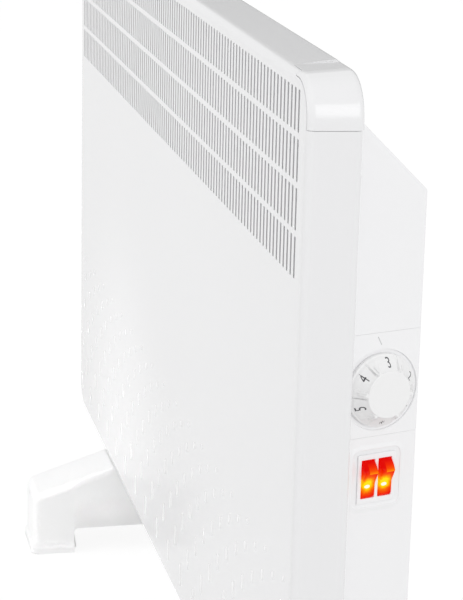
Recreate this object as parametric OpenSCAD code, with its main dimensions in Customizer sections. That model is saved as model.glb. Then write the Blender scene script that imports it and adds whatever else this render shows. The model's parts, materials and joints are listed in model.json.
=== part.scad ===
// Convector heater: a shallow white steel body on two plastic feet, with warm-air slots along the top of the
// front and a thermostat knob and two lit rocker switches on its right-hand end.
// Millimetres. +Z is up, the front faces -Y, the control end faces +X. The origin is on the floor, under the centre.

/* [Body] */
// Width of the front outline
body_w = 806; // [640:1:1000]
// Height of the front outline
body_h = 450; // [380:1:560]
// Depth from the front face to the rear face
body_d = 79.6; // [70:0.1:110]
// Depth of the front shell
shell_d = 32.2; // [24:0.1:36]
// Outward flare of the shell's walls, in degrees
shell_flare = 5.8; // [0:0.1:8]
// Radius of the four corners of the front outline
corner_r = 24; // [18:1:32]
// Rounding along the front edge of the shell
front_round = 6; // [3:0.5:9]
// Rounding along the rear edge of the shell
rear_round = 4; // [2:0.5:5]
// Thickness of the sheet steel
sheet_t = 1; // [0.6:0.1:1.5]

/* [Air outlet slots] */
// Rows of slots
slot_rows = 4; // [1:1:5]
// Width of one slot
slot_w = 3.3; // [2:0.1:4.5]
// Length of one slot
slot_l = 24.3; // [14:0.1:26]
// Distance from one column of slots to the next
slot_pitch = 8.28; // [6:0.02:12]
// Distance from one row of slots to the next
row_pitch = 28; // [27:0.1:34]
// Distance from the top of the front outline to the first row
slot_top_margin = 8.7; // [8:0.1:14]
// Distance from the side of the front outline to the middle of the last column
slot_side_margin = 17.9; // [16:0.1:60]

/* [Pressed dashes] */
// Height of the dot that ends each curved row, above the bottom of the body
dash_top = 148; // [100:1:200]
// Distance from one curved row to the next
dash_row_pitch = 46.85; // [40:0.05:60]
// Distance between dashes along a row
dash_pitch = 25.9; // [20:0.1:32]
// Width of a dash
dash_w = 3.6; // [2:0.1:5]
// How far a dash stands out of the sheet
dash_raise = 0.4; // [0.2:0.1:1]

/* [Corner caps] */
// Wall of the moulded corner caps
cap_t = 2; // [1.5:0.1:3]
// Length of the cap along the top, past the corner
cap_top_tail = 23; // [12:1:40]
// Length of the cap down the side, past the corner
cap_side_tail = 4.5; // [3:0.5:20]
// How far the cap reaches behind the shell's rear edge
cap_past = 0.8; // [0:0.1:1.5]

/* [Rear casing] */
// Distance from the shell's rear edge in to the casing
side_inset = 15.4; // [13:0.1:24]
// Distance from the shell's top edge down to the casing
top_inset = 26.5; // [24:0.5:45]
// Inward taper of the casing's ends, in degrees
taper = 14.75; // [5:0.25:18]
// Slope of the casing's top, in degrees
top_slope = 44.25; // [25:0.25:45]
// Width of the casing's screwed flange
flange_w = 9.5; // [8:0.5:10]
// Distance between the two wall hooks
hook_spacing = 400; // [300:10:500]
// Height of the wall hooks above the bottom of the body
hook_z = 330; // [290:5:345]
// Radius of the round part of a wall hook hole
hook_r = 5; // [4:0.5:6]

/* [Controls] */
// Height of the knob's axis above the bottom of the body
knob_z = 263.6; // [230:0.1:290]
// Distance from the casing's front edge to the middle of the controls, along its end
control_y = 22.9; // [22.6:0.1:23.4]
// Radius of the knob
knob_r = 22.3; // [18:0.1:22.5]
// How far the knob stands out of the end of the casing
knob_h = 10.5; // [9:0.5:14]
// Radius of the knob's raised middle
grip_r = 14; // [11:0.5:15]
// Height of the thermostat panel
panel_h = 63; // [58:0.5:70]
// Height of the switch's middle above the bottom of the body
switch_z = 209.5; // [180:0.5:212]
// Width of the switch frame
frame_w = 32.4; // [30:0.1:34]
// Height of the switch frame
frame_h = 36; // [34:0.5:40]
// Width of one rocker
rocker_w = 8.5; // [7:0.1:9]
// Radius of the rockers' ends about their pivot
rocker_r = 13.4; // [12.5:0.1:13.6]
// Distance from one rocker to the other
rocker_pitch = 11.5; // [10.5:0.1:12]
// Angle between a rocker's two positions, in degrees
rocker_travel = 30; // [20:1:30]

/* [Feet] */
// Height of the body's bottom edge above the floor
foot_h = 77; // [60:1:100]
// Distance between the two feet's middles
foot_spacing = 480; // [300:5:560]
// Width of a foot
foot_w = 54; // [48:1:70]
// Length of a foot from front to back
foot_l = 222; // [180:2:280]
// Length of one leg's block, from front to back
leg_l = 37; // [30:1:50]
// Height of the arch under a foot
arch_h = 22; // [14:1:30]
// Rounding along the top of a foot
foot_round = 6; // [4:0.5:8]

/* [Heater] */
// Length of the heating element's tube
element_l = 640; // [400:10:645]
// Radius of the heating element's tube
tube_r = 5.5; // [4:0.5:7]
// Number of cooling fins
fin_count = 58; // [20:1:70]
// Height of a fin
fin_h = 40; // [30:1:60]
// Depth of a fin
fin_d = 50; // [30:1:50]

/* [Fits] */
// Gap between pieces that clip or screw together
gap = 0.3; // [0.2:0.05:0.4]
// Radial clearance between a turning piece and its pin or bore
run_fit = 0.05; // [0.02:0.01:0.1]
// Radius of the hole in the cable gland
gland_r = 3.6; // [3:0.1:4.5]

/* [Hidden] */
$fn = 48;

white = "#F2F2F2";
steel = "#B9BCC0";
brass = "#C9A75A";
dark = "#3A3A3C";
amber = "#F24A12";

// Places shared by several pieces, all from the driving sizes
front_y = -body_d / 2;
lip_y = front_y + shell_d;
rear_y = body_d / 2;
flare_run = shell_d * tan(shell_flare);
corner_x = body_w / 2 - corner_r;
corner_top = body_h - corner_r;
casing_hw = body_w / 2 + flare_run - side_inset;
casing_d = rear_y - lip_y;
casing_low = side_inset - flare_run;
casing_top = body_h + flare_run - top_inset;
casing_rear_hw = casing_hw - casing_d * tan(taper);
end_l = casing_d / cos(taper);

// Centres of the front and rear roundings in the wall's section, as distances from the corner's axis
front_round_u = corner_r - front_round * (1 - sin(shell_flare)) / cos(shell_flare);
rear_round_u = corner_r + ((shell_d - rear_round) * sin(shell_flare) - rear_round) / cos(shell_flare);

cap_seam_u = corner_r - 2.5;
cap_lip_u = corner_r - 6.2;
cap_step_v = 4;
cap_front_tail = 5;

pivot_in = 6.3;
rocker_ridge_z = 8.2;
rocker_bore_r = 1.55;
bezel_w = 25.6;
bezel_h = 30.5;
bezel_out = 1.6;
frame_out = 0.9;
housing_w = 24;
housing_h = 29.4;
housing_d = 24;

panel_wall = 2.5;
panel_front_y = gap;
dial_recess = 1.2;
dial_recess_r = knob_r + 2.5;
shaft_r = 3;
stat_d = 23;
stat_w = 30;
stat_screw_z = 13;

switch_y = control_y - 0.8;

screw_r = 1.75;
screw_head_r = 3.3;
screw_head_h = 1.6;
screw_hole_r = screw_r + run_fit;

element_x = -15;
element_y = 8;
element_up = 100;
element_z = foot_h + element_up;
bracket_in = 10;
bracket_t = 1.2;
bracket_h = 70;
bracket_flange_l = 14;
fin_margin = 8;
shield_y = -24;
shield_h = 190;
shield_up = 45;
shield_z = foot_h + shield_up;
shield_past = 15;
fin_t = 1;
bush_r = 9;

terminal_l = 8;
wire_r = 1.2;

leg_foot_h = 6.5;
foot_wall = 3;
pad_out = 0.8;
pad_r = 7;
foot_top_z = foot_h - flare_run - gap;
toe_top_z = foot_h - 24;
foot_screw_y = [4, 28];
foot_screw_r = 2;
arch_r = 4;
plinth_top = foot_h + casing_low;
foot_spread = 2.5;
toe_in = 2;

// Runs children in a frame that lies on its back: x is X, y is height above the body's bottom, z points to the front
module upright() {
    translate([0, front_y, foot_h]) rotate([90, 0, 0]) children();
}

// Runs children on the casing's right end: x points out of it, y runs back along it, z is height above the bottom
module on_end() {
    translate([casing_hw, lip_y, foot_h]) rotate([0, 0, taper]) children();
}

// Runs children in a YZ outline that is swept along X
module along_x(from, to) {
    translate([from, 0, 0]) rotate([90, 0, 90]) linear_extrude(to - from) children();
}

// The same place as a point given in that frame
function end_point(x, y, z) = [
    casing_hw + x * cos(taper) - y * sin(taper),
    lip_y + x * sin(taper) + y * cos(taper),
    foot_h + z
];

module both_ends() {
    children();
    mirror([1, 0, 0]) children();
}

module rounded_rect(w, h, r) {
    translate([-w / 2 + r, -h / 2]) square([w - 2 * r, h]);
    translate([-w / 2, -h / 2 + r]) square([w, h - 2 * r]);
    for (x = [-1, 1], y = [-1, 1]) {
        translate([x * (w / 2 - r), y * (h / 2 - r)]) circle(r);
    }
}

// A tube along a list of points, with a slightly fuller ball at each bend
module wire_run(points, r) {
    for (i = [0 : len(points) - 2]) {
        step = points[i + 1] - points[i];
        translate(points[i])
            rotate([0, acos(step[2] / norm(step)), atan2(step[1], step[0])])
                cylinder(r = r, h = norm(step), $fn = 32);
    }
    for (i = [1 : len(points) - 2]) {
        translate(points[i]) sphere(r * 1.12, $fn = 32);
    }
}

// Region inside the shell's wall, inset by i and deeper by past
// x is the distance from the corner's axis, -y the depth
module wall_region(i, past) {
    out = [cos(shell_flare), sin(shell_flare)];
    front_c = [front_round_u, -front_round];
    deep = shell_d + past;
    rear_c = [rear_round_u + past * tan(shell_flare), rear_round - deep];
    polygon([
        [0, -i],
        [front_round_u, -i],
        front_c,
        front_c + (front_round - i) * out,
        rear_c + (rear_round - i) * out,
        rear_c,
        [rear_c[0], i - deep],
        [0, i - deep]
    ]);
    translate(front_c) circle(front_round - i);
    translate(rear_c) circle(rear_round - i);
}

module wall_section(t, past = 0) {
    intersection() {
        difference() {
            wall_region(0, past);
            wall_region(t, past);
        }
        translate([cap_lip_u, -shell_d - past]) square([corner_r + flare_run, shell_d + past]);
    }
}

// One corner and the straight walls that leave it, in the lying frame, for the top right corner
module corner_wall(t, top_l, side_l, past = 0) {
    translate([corner_x, corner_top, 0]) {
        rotate_extrude(angle = 90) wall_section(t, past);
        rotate([90, 0, 0]) linear_extrude(side_l) wall_section(t, past);
        translate([-top_l, 0, 0])
            rotate([0, 0, 90]) rotate([90, 0, 0]) linear_extrude(top_l) wall_section(t, past);
    }
}

// The space a top right corner cap takes up, grown by g
module cap_space(g) {
    far = corner_r + flare_run + 20;
    front_part = [[cap_seam_u - g, 1], [far, 1], [far, -cap_step_v - g], [cap_seam_u - g, -cap_step_v - g]];
    behind = -shell_d - cap_past - 1;
    rear_part = [[cap_lip_u - g, g - cap_step_v], [far, g - cap_step_v], [far, behind], [cap_lip_u - g, behind]];
    translate([corner_x, corner_top, 0]) {
        for (part = [front_part, rear_part]) {
            rotate_extrude(angle = 90) polygon(part);
            rotate([90, 0, 0]) linear_extrude(cap_side_tail + g) polygon(part);
        }
        translate([-cap_top_tail - g, 0, 0])
            rotate([0, 0, 90]) rotate([90, 0, 0]) linear_extrude(cap_top_tail + g) polygon(rear_part);
        translate([-cap_front_tail - g, 0, 0])
            rotate([0, 0, 90]) rotate([90, 0, 0]) linear_extrude(cap_front_tail + g) polygon(front_part);
    }
}

module slots_2d() {
    half = body_w / 2 - slot_side_margin;
    columns = floor(2 * half / slot_pitch);
    for (row = [0 : slot_rows - 1], col = [0 : columns]) {
        translate([
            (col - columns / 2) * slot_pitch - slot_w / 2,
            body_h - slot_top_margin - slot_l - row * row_pitch
        ])
            square([slot_w, slot_l]);
    }
}

// Dashes that lengthen and fall away along each curved row, from a dot at its right-hand end
function dash_fall(n) = 7.5 * n + n * n;
function dash_l(n) = dash_w + 1.7 * n;

module dashes_2d() {
    edge = 12;
    rows = ceil((body_w + dash_top) / dash_row_pitch);
    first_x = edge + 24.9 - body_w / 2;
    for (row = [0 : rows], n = [0 : 9]) {
        x = first_x + row * dash_row_pitch - n * dash_pitch;
        z = dash_top - dash_fall(n);
        if (abs(x) < body_w / 2 - edge && z - dash_l(n) / 2 > edge) {
            translate([x, z - (dash_l(n) - dash_w) / 2]) circle(dash_w / 2);
            if (n > 0) {
                translate([x - dash_w / 2, z - (dash_l(n) - dash_w) / 2]) square([dash_w, dash_l(n) - dash_w]);
                translate([x, z + (dash_l(n) - dash_w) / 2]) circle(dash_w / 2);
            }
        }
    }
}

flange_past = 20;
top_flange_hw = corner_x - 30;
casing_screw_low = 40;
casing_screw_high = corner_top - cap_side_tail - flange_past - 6.5;
casing_screw_zs = [casing_screw_low, (casing_screw_low + casing_screw_high) / 2, casing_screw_high];
casing_screw_xs = [49 - top_flange_hw, 0, top_flange_hw - 49];

// Holes for the casing's screws: through the lip at the sides, the top and the bottom
module casing_screw_places() {
    side_x = casing_hw + flange_w / 2;
    for (z = casing_screw_zs, s = [-1, 1]) {
        translate([s * side_x, lip_y, foot_h + z]) children();
    }
    for (x = casing_screw_xs) {
        translate([x, lip_y, foot_h + casing_top + flange_w / 2]) children();
    }
}

module front_panel() {
    face_m = corner_r - front_round_u;
    rear_m = corner_r - rear_round_u;
    color(white) difference() {
        upright() {
            difference() {
                union() {
                    translate([0, body_h / 2, -sheet_t])
                        linear_extrude(sheet_t)
                            rounded_rect(body_w - 2 * face_m, body_h - 2 * face_m, front_round_u);
                    translate([0, body_h / 2, -shell_d])
                        linear_extrude(sheet_t)
                            rounded_rect(body_w - 2 * rear_m, body_h - 2 * rear_m, rear_round_u);
                    both_ends() {
                        corner_wall(sheet_t, corner_x, body_h - 2 * corner_r);
                        translate([0, body_h, 0]) mirror([0, 1, 0]) corner_wall(sheet_t, corner_x, 1);
                    }
                }
                translate([0, 0, -sheet_t - 1]) linear_extrude(sheet_t + 2) slots_2d();
                translate([-casing_hw - gap, casing_low - gap, -shell_d - 1])
                    cube([2 * (casing_hw + gap), casing_top - casing_low + 2 * gap, sheet_t + 2]);
                both_ends() cap_space(gap);
            }
            linear_extrude(dash_raise) dashes_2d();
        }
        casing_screw_places() rotate([90, 0, 0]) cylinder(r = screw_r + gap, h = 4 * sheet_t, center = true);
    }
}

module corner_cap() {
    color(white) upright() intersection() {
        corner_wall(cap_t, cap_top_tail + 1, cap_side_tail + 1, cap_past);
        cap_space(0);
    }
}

module corner_cap_right() {
    corner_cap();
}

module corner_cap_left() {
    mirror([1, 0, 0]) corner_cap();
}

// The casing's outer form, inset by i: a tapered plan crossed with a side outline whose top slopes down to the rear
module casing_form(i) {
    slope_z = casing_top - i / cos(top_slope);
    intersection() {
        translate([0, 0, foot_h]) linear_extrude(body_h)
            polygon([
                [-casing_hw + i / cos(taper), lip_y],
                [casing_hw - i / cos(taper), lip_y],
                [casing_rear_hw - i / cos(taper) + i * tan(taper), rear_y - i],
                [-casing_rear_hw + i / cos(taper) - i * tan(taper), rear_y - i]
            ]);
        translate([0, 0, foot_h]) along_x(-casing_hw, casing_hw)
            polygon([
                [lip_y, casing_low + i],
                [lip_y, slope_z],
                [rear_y - i, slope_z - (casing_d - i) * tan(top_slope)],
                [rear_y - i, casing_low + i]
            ]);
    }
}

// The straight neck of the casing that passes through the lip, and the flange in front of the lip
module casing_neck() {
    neck_front = lip_y - 2 * sheet_t;
    neck_h = casing_top - casing_low;
    flange_low = casing_screw_low - flange_past;
    flange_high = casing_screw_high + flange_past;
    difference() {
        union() {
            translate([-casing_hw, neck_front, foot_h + casing_low]) cube([2 * casing_hw, 2 * sheet_t, neck_h]);
            for (s = [0, 1]) {
                mirror([s, 0, 0]) translate([casing_hw - sheet_t, neck_front, foot_h + flange_low])
                    cube([sheet_t + flange_w, sheet_t, flange_high - flange_low]);
            }
            translate([-top_flange_hw, neck_front, foot_h + casing_top - sheet_t])
                cube([2 * top_flange_hw, sheet_t, sheet_t + flange_w]);
        }
        translate([-casing_hw + sheet_t, neck_front - 1, foot_h + casing_low + sheet_t])
            cube([2 * (casing_hw - sheet_t), 2 * sheet_t + 2, neck_h - 2 * sheet_t]);
    }
}

// The thermostat panel's place in the casing's right end, grown by g
module panel_space(g) {
    side_wrap = 9;
    low = knob_z - panel_h / 2 + 3.4;
    intersection() {
        on_end() translate([-side_wrap - g, panel_front_y - g, low - g])
            cube([side_wrap + 2 + g, end_l + 10, panel_h + 2 * g]);
        translate([casing_rear_hw - side_wrap - g, lip_y, 0]) cube([60, casing_d + 1, foot_h + body_h]);
    }
}

inlet_slot_w = 4;
inlet_slot_l = 19;
inlet_pitch = 9;

module inlet_slots_2d() {
    columns = floor((casing_rear_hw - 25) / inlet_pitch);
    for (col = [-columns : columns], row = [0, 1]) {
        x = col * inlet_pitch;
        if (abs(abs(x) - foot_spacing / 2) > foot_w / 2 + 3) {
            translate([x - inlet_slot_w / 2, lip_y + 4 + row * (inlet_slot_l + 3)])
                square([inlet_slot_w, inlet_slot_l]);
        }
    }
}

module hook_hole() {
    rotate([-90, 0, 0]) cylinder(r = hook_r, h = 4 * sheet_t, center = true);
    translate([-hook_r / 2, -2 * sheet_t, 0]) cube([hook_r, 4 * sheet_t, 2 * hook_r + 1]);
    translate([0, 0, 2 * hook_r + 1]) rotate([-90, 0, 0]) cylinder(r = hook_r / 2, h = 4 * sheet_t, center = true);
}

gland_x = casing_hw - 53;
gland_z = 50;
gland_body_r = 8;

module rear_casing() {
    color(white) difference() {
        union() {
            difference() {
                casing_form(0);
                casing_form(sheet_t);
                translate([0, 0, foot_h + casing_low - 1]) linear_extrude(sheet_t + 2) inlet_slots_2d();
            }
            casing_neck();
        }
        panel_space(gap);
        on_end() translate([-6, switch_y - housing_w / 2 - gap, switch_z - housing_h / 2 - gap])
            cube([8, housing_w + 2 * gap, housing_h + 2 * gap]);
        for (s = [-1, 1]) {
            translate([s * hook_spacing / 2, rear_y - sheet_t / 2, foot_h + hook_z]) hook_hole();
        }
        translate([gland_x, rear_y - sheet_t / 2, foot_h + gland_z])
            rotate([90, 0, 0]) cylinder(r = gland_body_r + gap, h = 4 * sheet_t, center = true);
        casing_screw_places() rotate([90, 0, 0]) cylinder(r = screw_hole_r, h = 8 * sheet_t, center = true);
        foot_screw_places() cylinder(r = foot_screw_r + run_fit, h = 4 * sheet_t, center = true);
    }
}

module thermostat_panel() {
    color(white) difference() {
        intersection() {
            difference() {
                casing_form(0);
                casing_form(panel_wall);
            }
            panel_space(0);
        }
        on_end() {
            translate([0, control_y, knob_z]) rotate([0, 90, 0]) {
                translate([0, 0, -dial_recess]) cylinder(r = dial_recess_r, h = 5);
                cylinder(r = shaft_r + 1.2, h = 20, center = true);
                for (s = [-1, 1]) {
                    translate([s * stat_screw_z, 0, 0]) cylinder(r = screw_r + gap, h = 20, center = true);
                }
            }
            // The slanted mark that the dial is read against
            translate([0, control_y - 1.7, knob_z + knob_r + 7.7])
                rotate([27.5, 0, 0]) cube([0.6, 0.7, 5.4], center = true);
        }
    }
}

digit_step = 60;
first_digit = 4;
rib_angle = 15;
lobe_angle = 5;
rim_h = 1.4;
cone_top_r = grip_r + 0.6;
cone_top_h = knob_h - 1.2;

// Half section of the knob: a low rim, a hollowed flank and a flat raised middle
module knob_profile() {
    polygon([
        [0, gap - dial_recess],
        [knob_r, gap - dial_recess],
        [knob_r, rim_h],
        [(knob_r + cone_top_r) / 2 - 0.4, (rim_h + cone_top_h) / 2 - 0.4],
        [cone_top_r, cone_top_h],
        [grip_r, knob_h],
        [0, knob_h]
    ]);
}

// Section of a rib that stands out of the flank
module rib_profile() {
    rise = 0.7;
    polygon([
        [grip_r - 2, 4],
        [knob_r - 0.7, 0.5],
        [knob_r - 0.7, rim_h + rise],
        [(knob_r + cone_top_r) / 2 - 0.4, (rim_h + cone_top_h) / 2 - 0.4 + rise],
        [cone_top_r + 0.2, cone_top_h - 0.6],
        [grip_r - 2, cone_top_h - 0.6]
    ]);
}

// Section of a lobe on the rim of the grip
module lobe_profile() {
    polygon([
        [grip_r - 1.2, knob_h - 5],
        [cone_top_r + 1.1, cone_top_h - 2],
        [cone_top_r + 1.1, cone_top_h - 0.2],
        [grip_r + 0.9, knob_h - 0.5],
        [grip_r - 1.2, knob_h - 0.5]
    ]);
}

module thermostat_knob() {
    color(white) on_end() translate([0, control_y, knob_z]) rotate([0, 90, 0]) {
        difference() {
            union() {
                rotate_extrude($fn = 96) knob_profile();
                // Six stepped ribs part the six marks of the scale and end in lobes round the raised middle
                for (k = [0 : 5]) {
                    rotate([0, 0, 180 - first_digit - digit_step / 2 - k * digit_step - rib_angle / 2])
                        rotate_extrude(angle = rib_angle, $fn = 96) rib_profile();
                    rotate([0, 0, 180 - first_digit - digit_step / 2 - k * digit_step - lobe_angle / 2])
                        rotate_extrude(angle = lobe_angle, $fn = 96) lobe_profile();
                }
            }
            rotate_extrude($fn = 96) polygon([
                [shaft_r + 2.4, -dial_recess],
                [knob_r - 2, -dial_recess],
                [knob_r - 2, rim_h - 1],
                [grip_r - 1.4, cone_top_h - 2],
                [shaft_r + 2.4, cone_top_h - 2]
            ]);
            translate([0, 0, -dial_recess]) cylinder(r = shaft_r + run_fit, h = cone_top_h - 1);
        }
    }
}

module thermostat_shaft() {
    color(steel) on_end() translate([-panel_wall - 6, control_y, knob_z]) rotate([0, 90, 0])
        cylinder(r = shaft_r, h = panel_wall + 6 + cone_top_h - 2.6);
}

module thermostat_body() {
    color(steel) on_end() translate([-panel_wall, control_y, knob_z]) rotate([0, 90, 0]) difference() {
        union() {
            translate([-stat_w / 2, -stat_w / 2, -stat_d]) cube([stat_w, stat_w, stat_d - 2]);
            translate([-stat_w / 2 - 2, -8, -2]) cube([stat_w + 4, 16, 2]);
        }
        translate([0, 0, -6 - run_fit - gap]) cylinder(r = shaft_r + run_fit, h = 20);
        for (s = [-1, 1]) {
            translate([s * stat_screw_z, 0, -7]) cylinder(r = screw_r + run_fit, h = 20);
        }
    }
}

module pan_screw(l) {
    cylinder(r = screw_head_r, h = screw_head_h);
    translate([0, 0, -l]) cylinder(r = screw_r, h = l + 0.01);
}

module thermostat_screws() {
    color(steel) on_end() translate([-dial_recess, control_y, knob_z]) rotate([0, 90, 0]) for (s = [-1, 1]) {
        translate([s * stat_screw_z, 0, 0]) pan_screw(6);
    }
}

bulb_r = 3.2;
bulb_l = 62;
bulb_in = 78;
bulb_up = 9;
bulb_x = casing_hw - bulb_in;
bulb_y = lip_y + 4.5;
bulb_z = foot_h + casing_low + sheet_t + bulb_up;
capillary_r = 0.9;
capillary_bend = 12;

// The thermostat's sensing bulb in the cool air at the bottom, and the fine tube that joins it to the thermostat
module sensor_bulb() {
    stat_exit = end_point(-panel_wall - stat_d - gap, control_y - stat_w / 2 + 3, knob_z - 6);
    tube_x = bulb_x + bulb_l / 2 + 5;
    color(brass) {
        translate([bulb_x - bulb_l / 2, bulb_y, bulb_z]) rotate([0, 90, 0]) cylinder(r = bulb_r, h = bulb_l);
        wire_run([
            stat_exit,
            [tube_x, stat_exit[1], stat_exit[2]],
            [tube_x, bulb_y, stat_exit[2] - capillary_bend],
            [tube_x, bulb_y, bulb_z],
            [bulb_x + bulb_l / 2 - 1, bulb_y, bulb_z]
        ], capillary_r);
    }
}

module sensor_clip() {
    clip_w = 10;
    floor_z = foot_h + casing_low + sheet_t;
    color(steel) difference() {
        translate([bulb_x - clip_w / 2, bulb_y - 6, floor_z]) cube([clip_w, 12, bulb_z - floor_z + 4.5]);
        translate([bulb_x, bulb_y, bulb_z]) rotate([0, 90, 0]) cylinder(r = bulb_r + run_fit, h = 40, center = true);
        translate([bulb_x - 20, bulb_y - 4.8, floor_z + 1.2]) cube([40, 9.6, bulb_z - floor_z - bulb_r - 2.4]);
    }
}

// Runs children at the rockers' pivot: z runs back along the end, x is up, y points out of the end
module at_pivot() {
    on_end() translate([-pivot_in, switch_y, switch_z]) rotate([0, -90, -90]) children();
}

module rocker_sweep(r, w) {
    for (s = [-1, 1]) {
        translate([0, 0, s * rocker_pitch / 2]) cylinder(r = r, h = w, center = true, $fn = 96);
    }
}

module switch_frame() {
    color(white) on_end() translate([0.01, switch_y, switch_z]) rotate([90, 0, 90]) difference() {
        linear_extrude(frame_out) rounded_rect(frame_w, frame_h, 4.5);
        translate([0, 0, -1]) linear_extrude(3) rounded_rect(bezel_w + 2 * gap, bezel_h + 2 * gap, 1.5);
    }
}

module switch_bezel() {
    color(white) difference() {
        on_end() translate([0.01, switch_y, switch_z]) rotate([90, 0, 90])
            linear_extrude(bezel_out) rounded_rect(bezel_w, bezel_h, 1.2);
        at_pivot() rocker_sweep(rocker_r + gap, rocker_w + 2 * gap);
    }
}

module switch_housing() {
    color(white) difference() {
        on_end() translate([-housing_d, switch_y - housing_w / 2, switch_z - housing_h / 2])
            cube([housing_d, housing_w, housing_h]);
        at_pivot() {
            intersection() {
                rocker_sweep(rocker_r + gap, rocker_w + 2 * gap);
                translate([-30, -10, -30]) cube([60, 30, 60]);
            }
            cylinder(r = rocker_bore_r, h = 60, center = true, $fn = 48);
        }
    }
}

module rocker_pin() {
    color(steel) at_pivot()
        cylinder(r = rocker_bore_r - run_fit, h = housing_w - 0.4, center = true, $fn = 48);
}

// A rocker as it stands in the photograph's lit position: its lower end pressed in, its upper end standing out
module rocker() {
    face_low = sqrt(rocker_r * rocker_r - rocker_ridge_z * rocker_ridge_z);
    rotate([0, 0, rocker_travel / 2]) difference() {
        intersection() {
            cylinder(r = rocker_r, h = rocker_w, center = true, $fn = 96);
            linear_extrude(rocker_w + 2, center = true) polygon([
                [-rocker_ridge_z - 0.01, face_low],
                [0, face_low - 1.3],
                [rocker_ridge_z + 0.01, face_low],
                [rocker_r, face_low - 6],
                [9, 0],
                [4, -3],
                [-4, -3],
                [-9, 0],
                [-rocker_r, face_low - 6]
            ]);
        }
        cylinder(r = rocker_bore_r, h = 40, center = true, $fn = 48);
    }
}

module rocker_front() {
    color(amber) at_pivot() translate([0, 0, -rocker_pitch / 2]) rocker();
}

module rocker_rear() {
    color(amber) at_pivot() translate([0, 0, rocker_pitch / 2]) rocker();
}

module indicator_lamps() {
    color("#FF9A3C") at_pivot() for (s = [-1, 1]) {
        translate([-6, -9.95, s * rocker_pitch / 2]) rotate([-90, 0, 0]) cylinder(r = 1.6, h = 4.6);
    }
}

module switch_terminals() {
    color(brass) on_end() translate([-housing_d, switch_y, switch_z])
        for (y = [-1, 1], z = [-9, 0, 9]) {
            translate([-terminal_l, y * rocker_pitch / 2 - 0.4, z - 2.4]) cube([terminal_l, 0.8, 4.8]);
        }
}

module heating_tube() {
    color(steel) translate([element_x - element_l / 2, element_y, element_z]) rotate([0, 90, 0])
        cylinder(r = tube_r, h = element_l);
}

module heating_fins() {
    span = element_l - 2 * bracket_in - 2 * fin_margin;
    step = span / (fin_count - 1);
    color("#C9CCD0") for (i = [0 : fin_count - 1]) {
        translate([element_x - span / 2 + i * step, element_y, element_z]) difference() {
            cube([fin_t, fin_d, fin_h], center = true);
            rotate([0, 90, 0]) cylinder(r = tube_r + run_fit, h = 5, center = true);
        }
    }
}

// A plate across the tube, with a flange on the casing's rear wall
module element_bracket(x, flange_side) {
    rear_in = rear_y - sheet_t;
    color(steel) difference() {
        translate([x, 0, element_z - bracket_h / 2]) {
            translate([-bracket_t / 2, shield_y, 0]) cube([bracket_t, rear_in - shield_y, bracket_h]);
            translate([flange_side > 0 ? -bracket_t / 2 : bracket_t / 2 - bracket_flange_l, rear_in - bracket_t, 0])
                cube([bracket_flange_l, bracket_t, bracket_h]);
        }
        translate([x, element_y, element_z]) rotate([0, 90, 0]) cylinder(r = bush_r + gap / 2, h = 5, center = true);
    }
}

bracket_left_x = element_x - element_l / 2 + bracket_in;
bracket_right_x = element_x + element_l / 2 - bracket_in;

module element_bracket_left() {
    element_bracket(bracket_left_x, -1);
}

module element_bracket_right() {
    element_bracket(bracket_right_x, 1);
}

module element_bushes() {
    color("#E8E2D4") for (x = [bracket_left_x, bracket_right_x]) {
        translate([x, element_y, element_z]) rotate([0, 90, 0]) difference() {
            union() {
                cylinder(r = bush_r, h = 6, center = true);
                for (s = [-1, 1]) {
                    translate([0, 0, s * (bracket_t / 2 + gap / 2 + 1)])
                        cylinder(r = bush_r + 2, h = 2, center = true);
                }
            }
            cylinder(r = tube_r + run_fit, h = 20, center = true);
        }
    }
}

module heat_shield() {
    shield_l = element_l - 2 * bracket_in + 2 * shield_past;
    color(steel) translate([element_x - shield_l / 2, shield_y - sheet_t, shield_z])
        cube([shield_l, sheet_t, shield_h]);
}

cutout_x = 160;
cutout_z = shield_z + shield_h - 30;

module thermal_cutout() {
    color(dark) translate([cutout_x, shield_y, cutout_z]) {
        translate([-14, 0, -6]) cube([28, 1, 12]);
        rotate([-90, 0, 0]) cylinder(r = 8, h = 10);
        for (s = [-1, 1]) {
            translate([s * 4 - 0.4, 10, -3]) cube([0.8, 7, 6]);
        }
    }
}

block_in = 69;
block_x = casing_hw - block_in;
block_z = 140;
block_w = 30;
block_d = 17;
block_h = 16;

module terminal_block() {
    color("#E9E9E4") difference() {
        translate([block_x - block_w / 2, rear_y - sheet_t - block_d, foot_h + block_z])
            cube([block_w, block_d, block_h]);
        for (i = [-1, 0, 1]) {
            translate([block_x + i * 9, rear_y - sheet_t - block_d / 2, foot_h + block_z - 1])
                cylinder(r = 2.2, h = block_h + 2);
        }
    }
}

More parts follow.
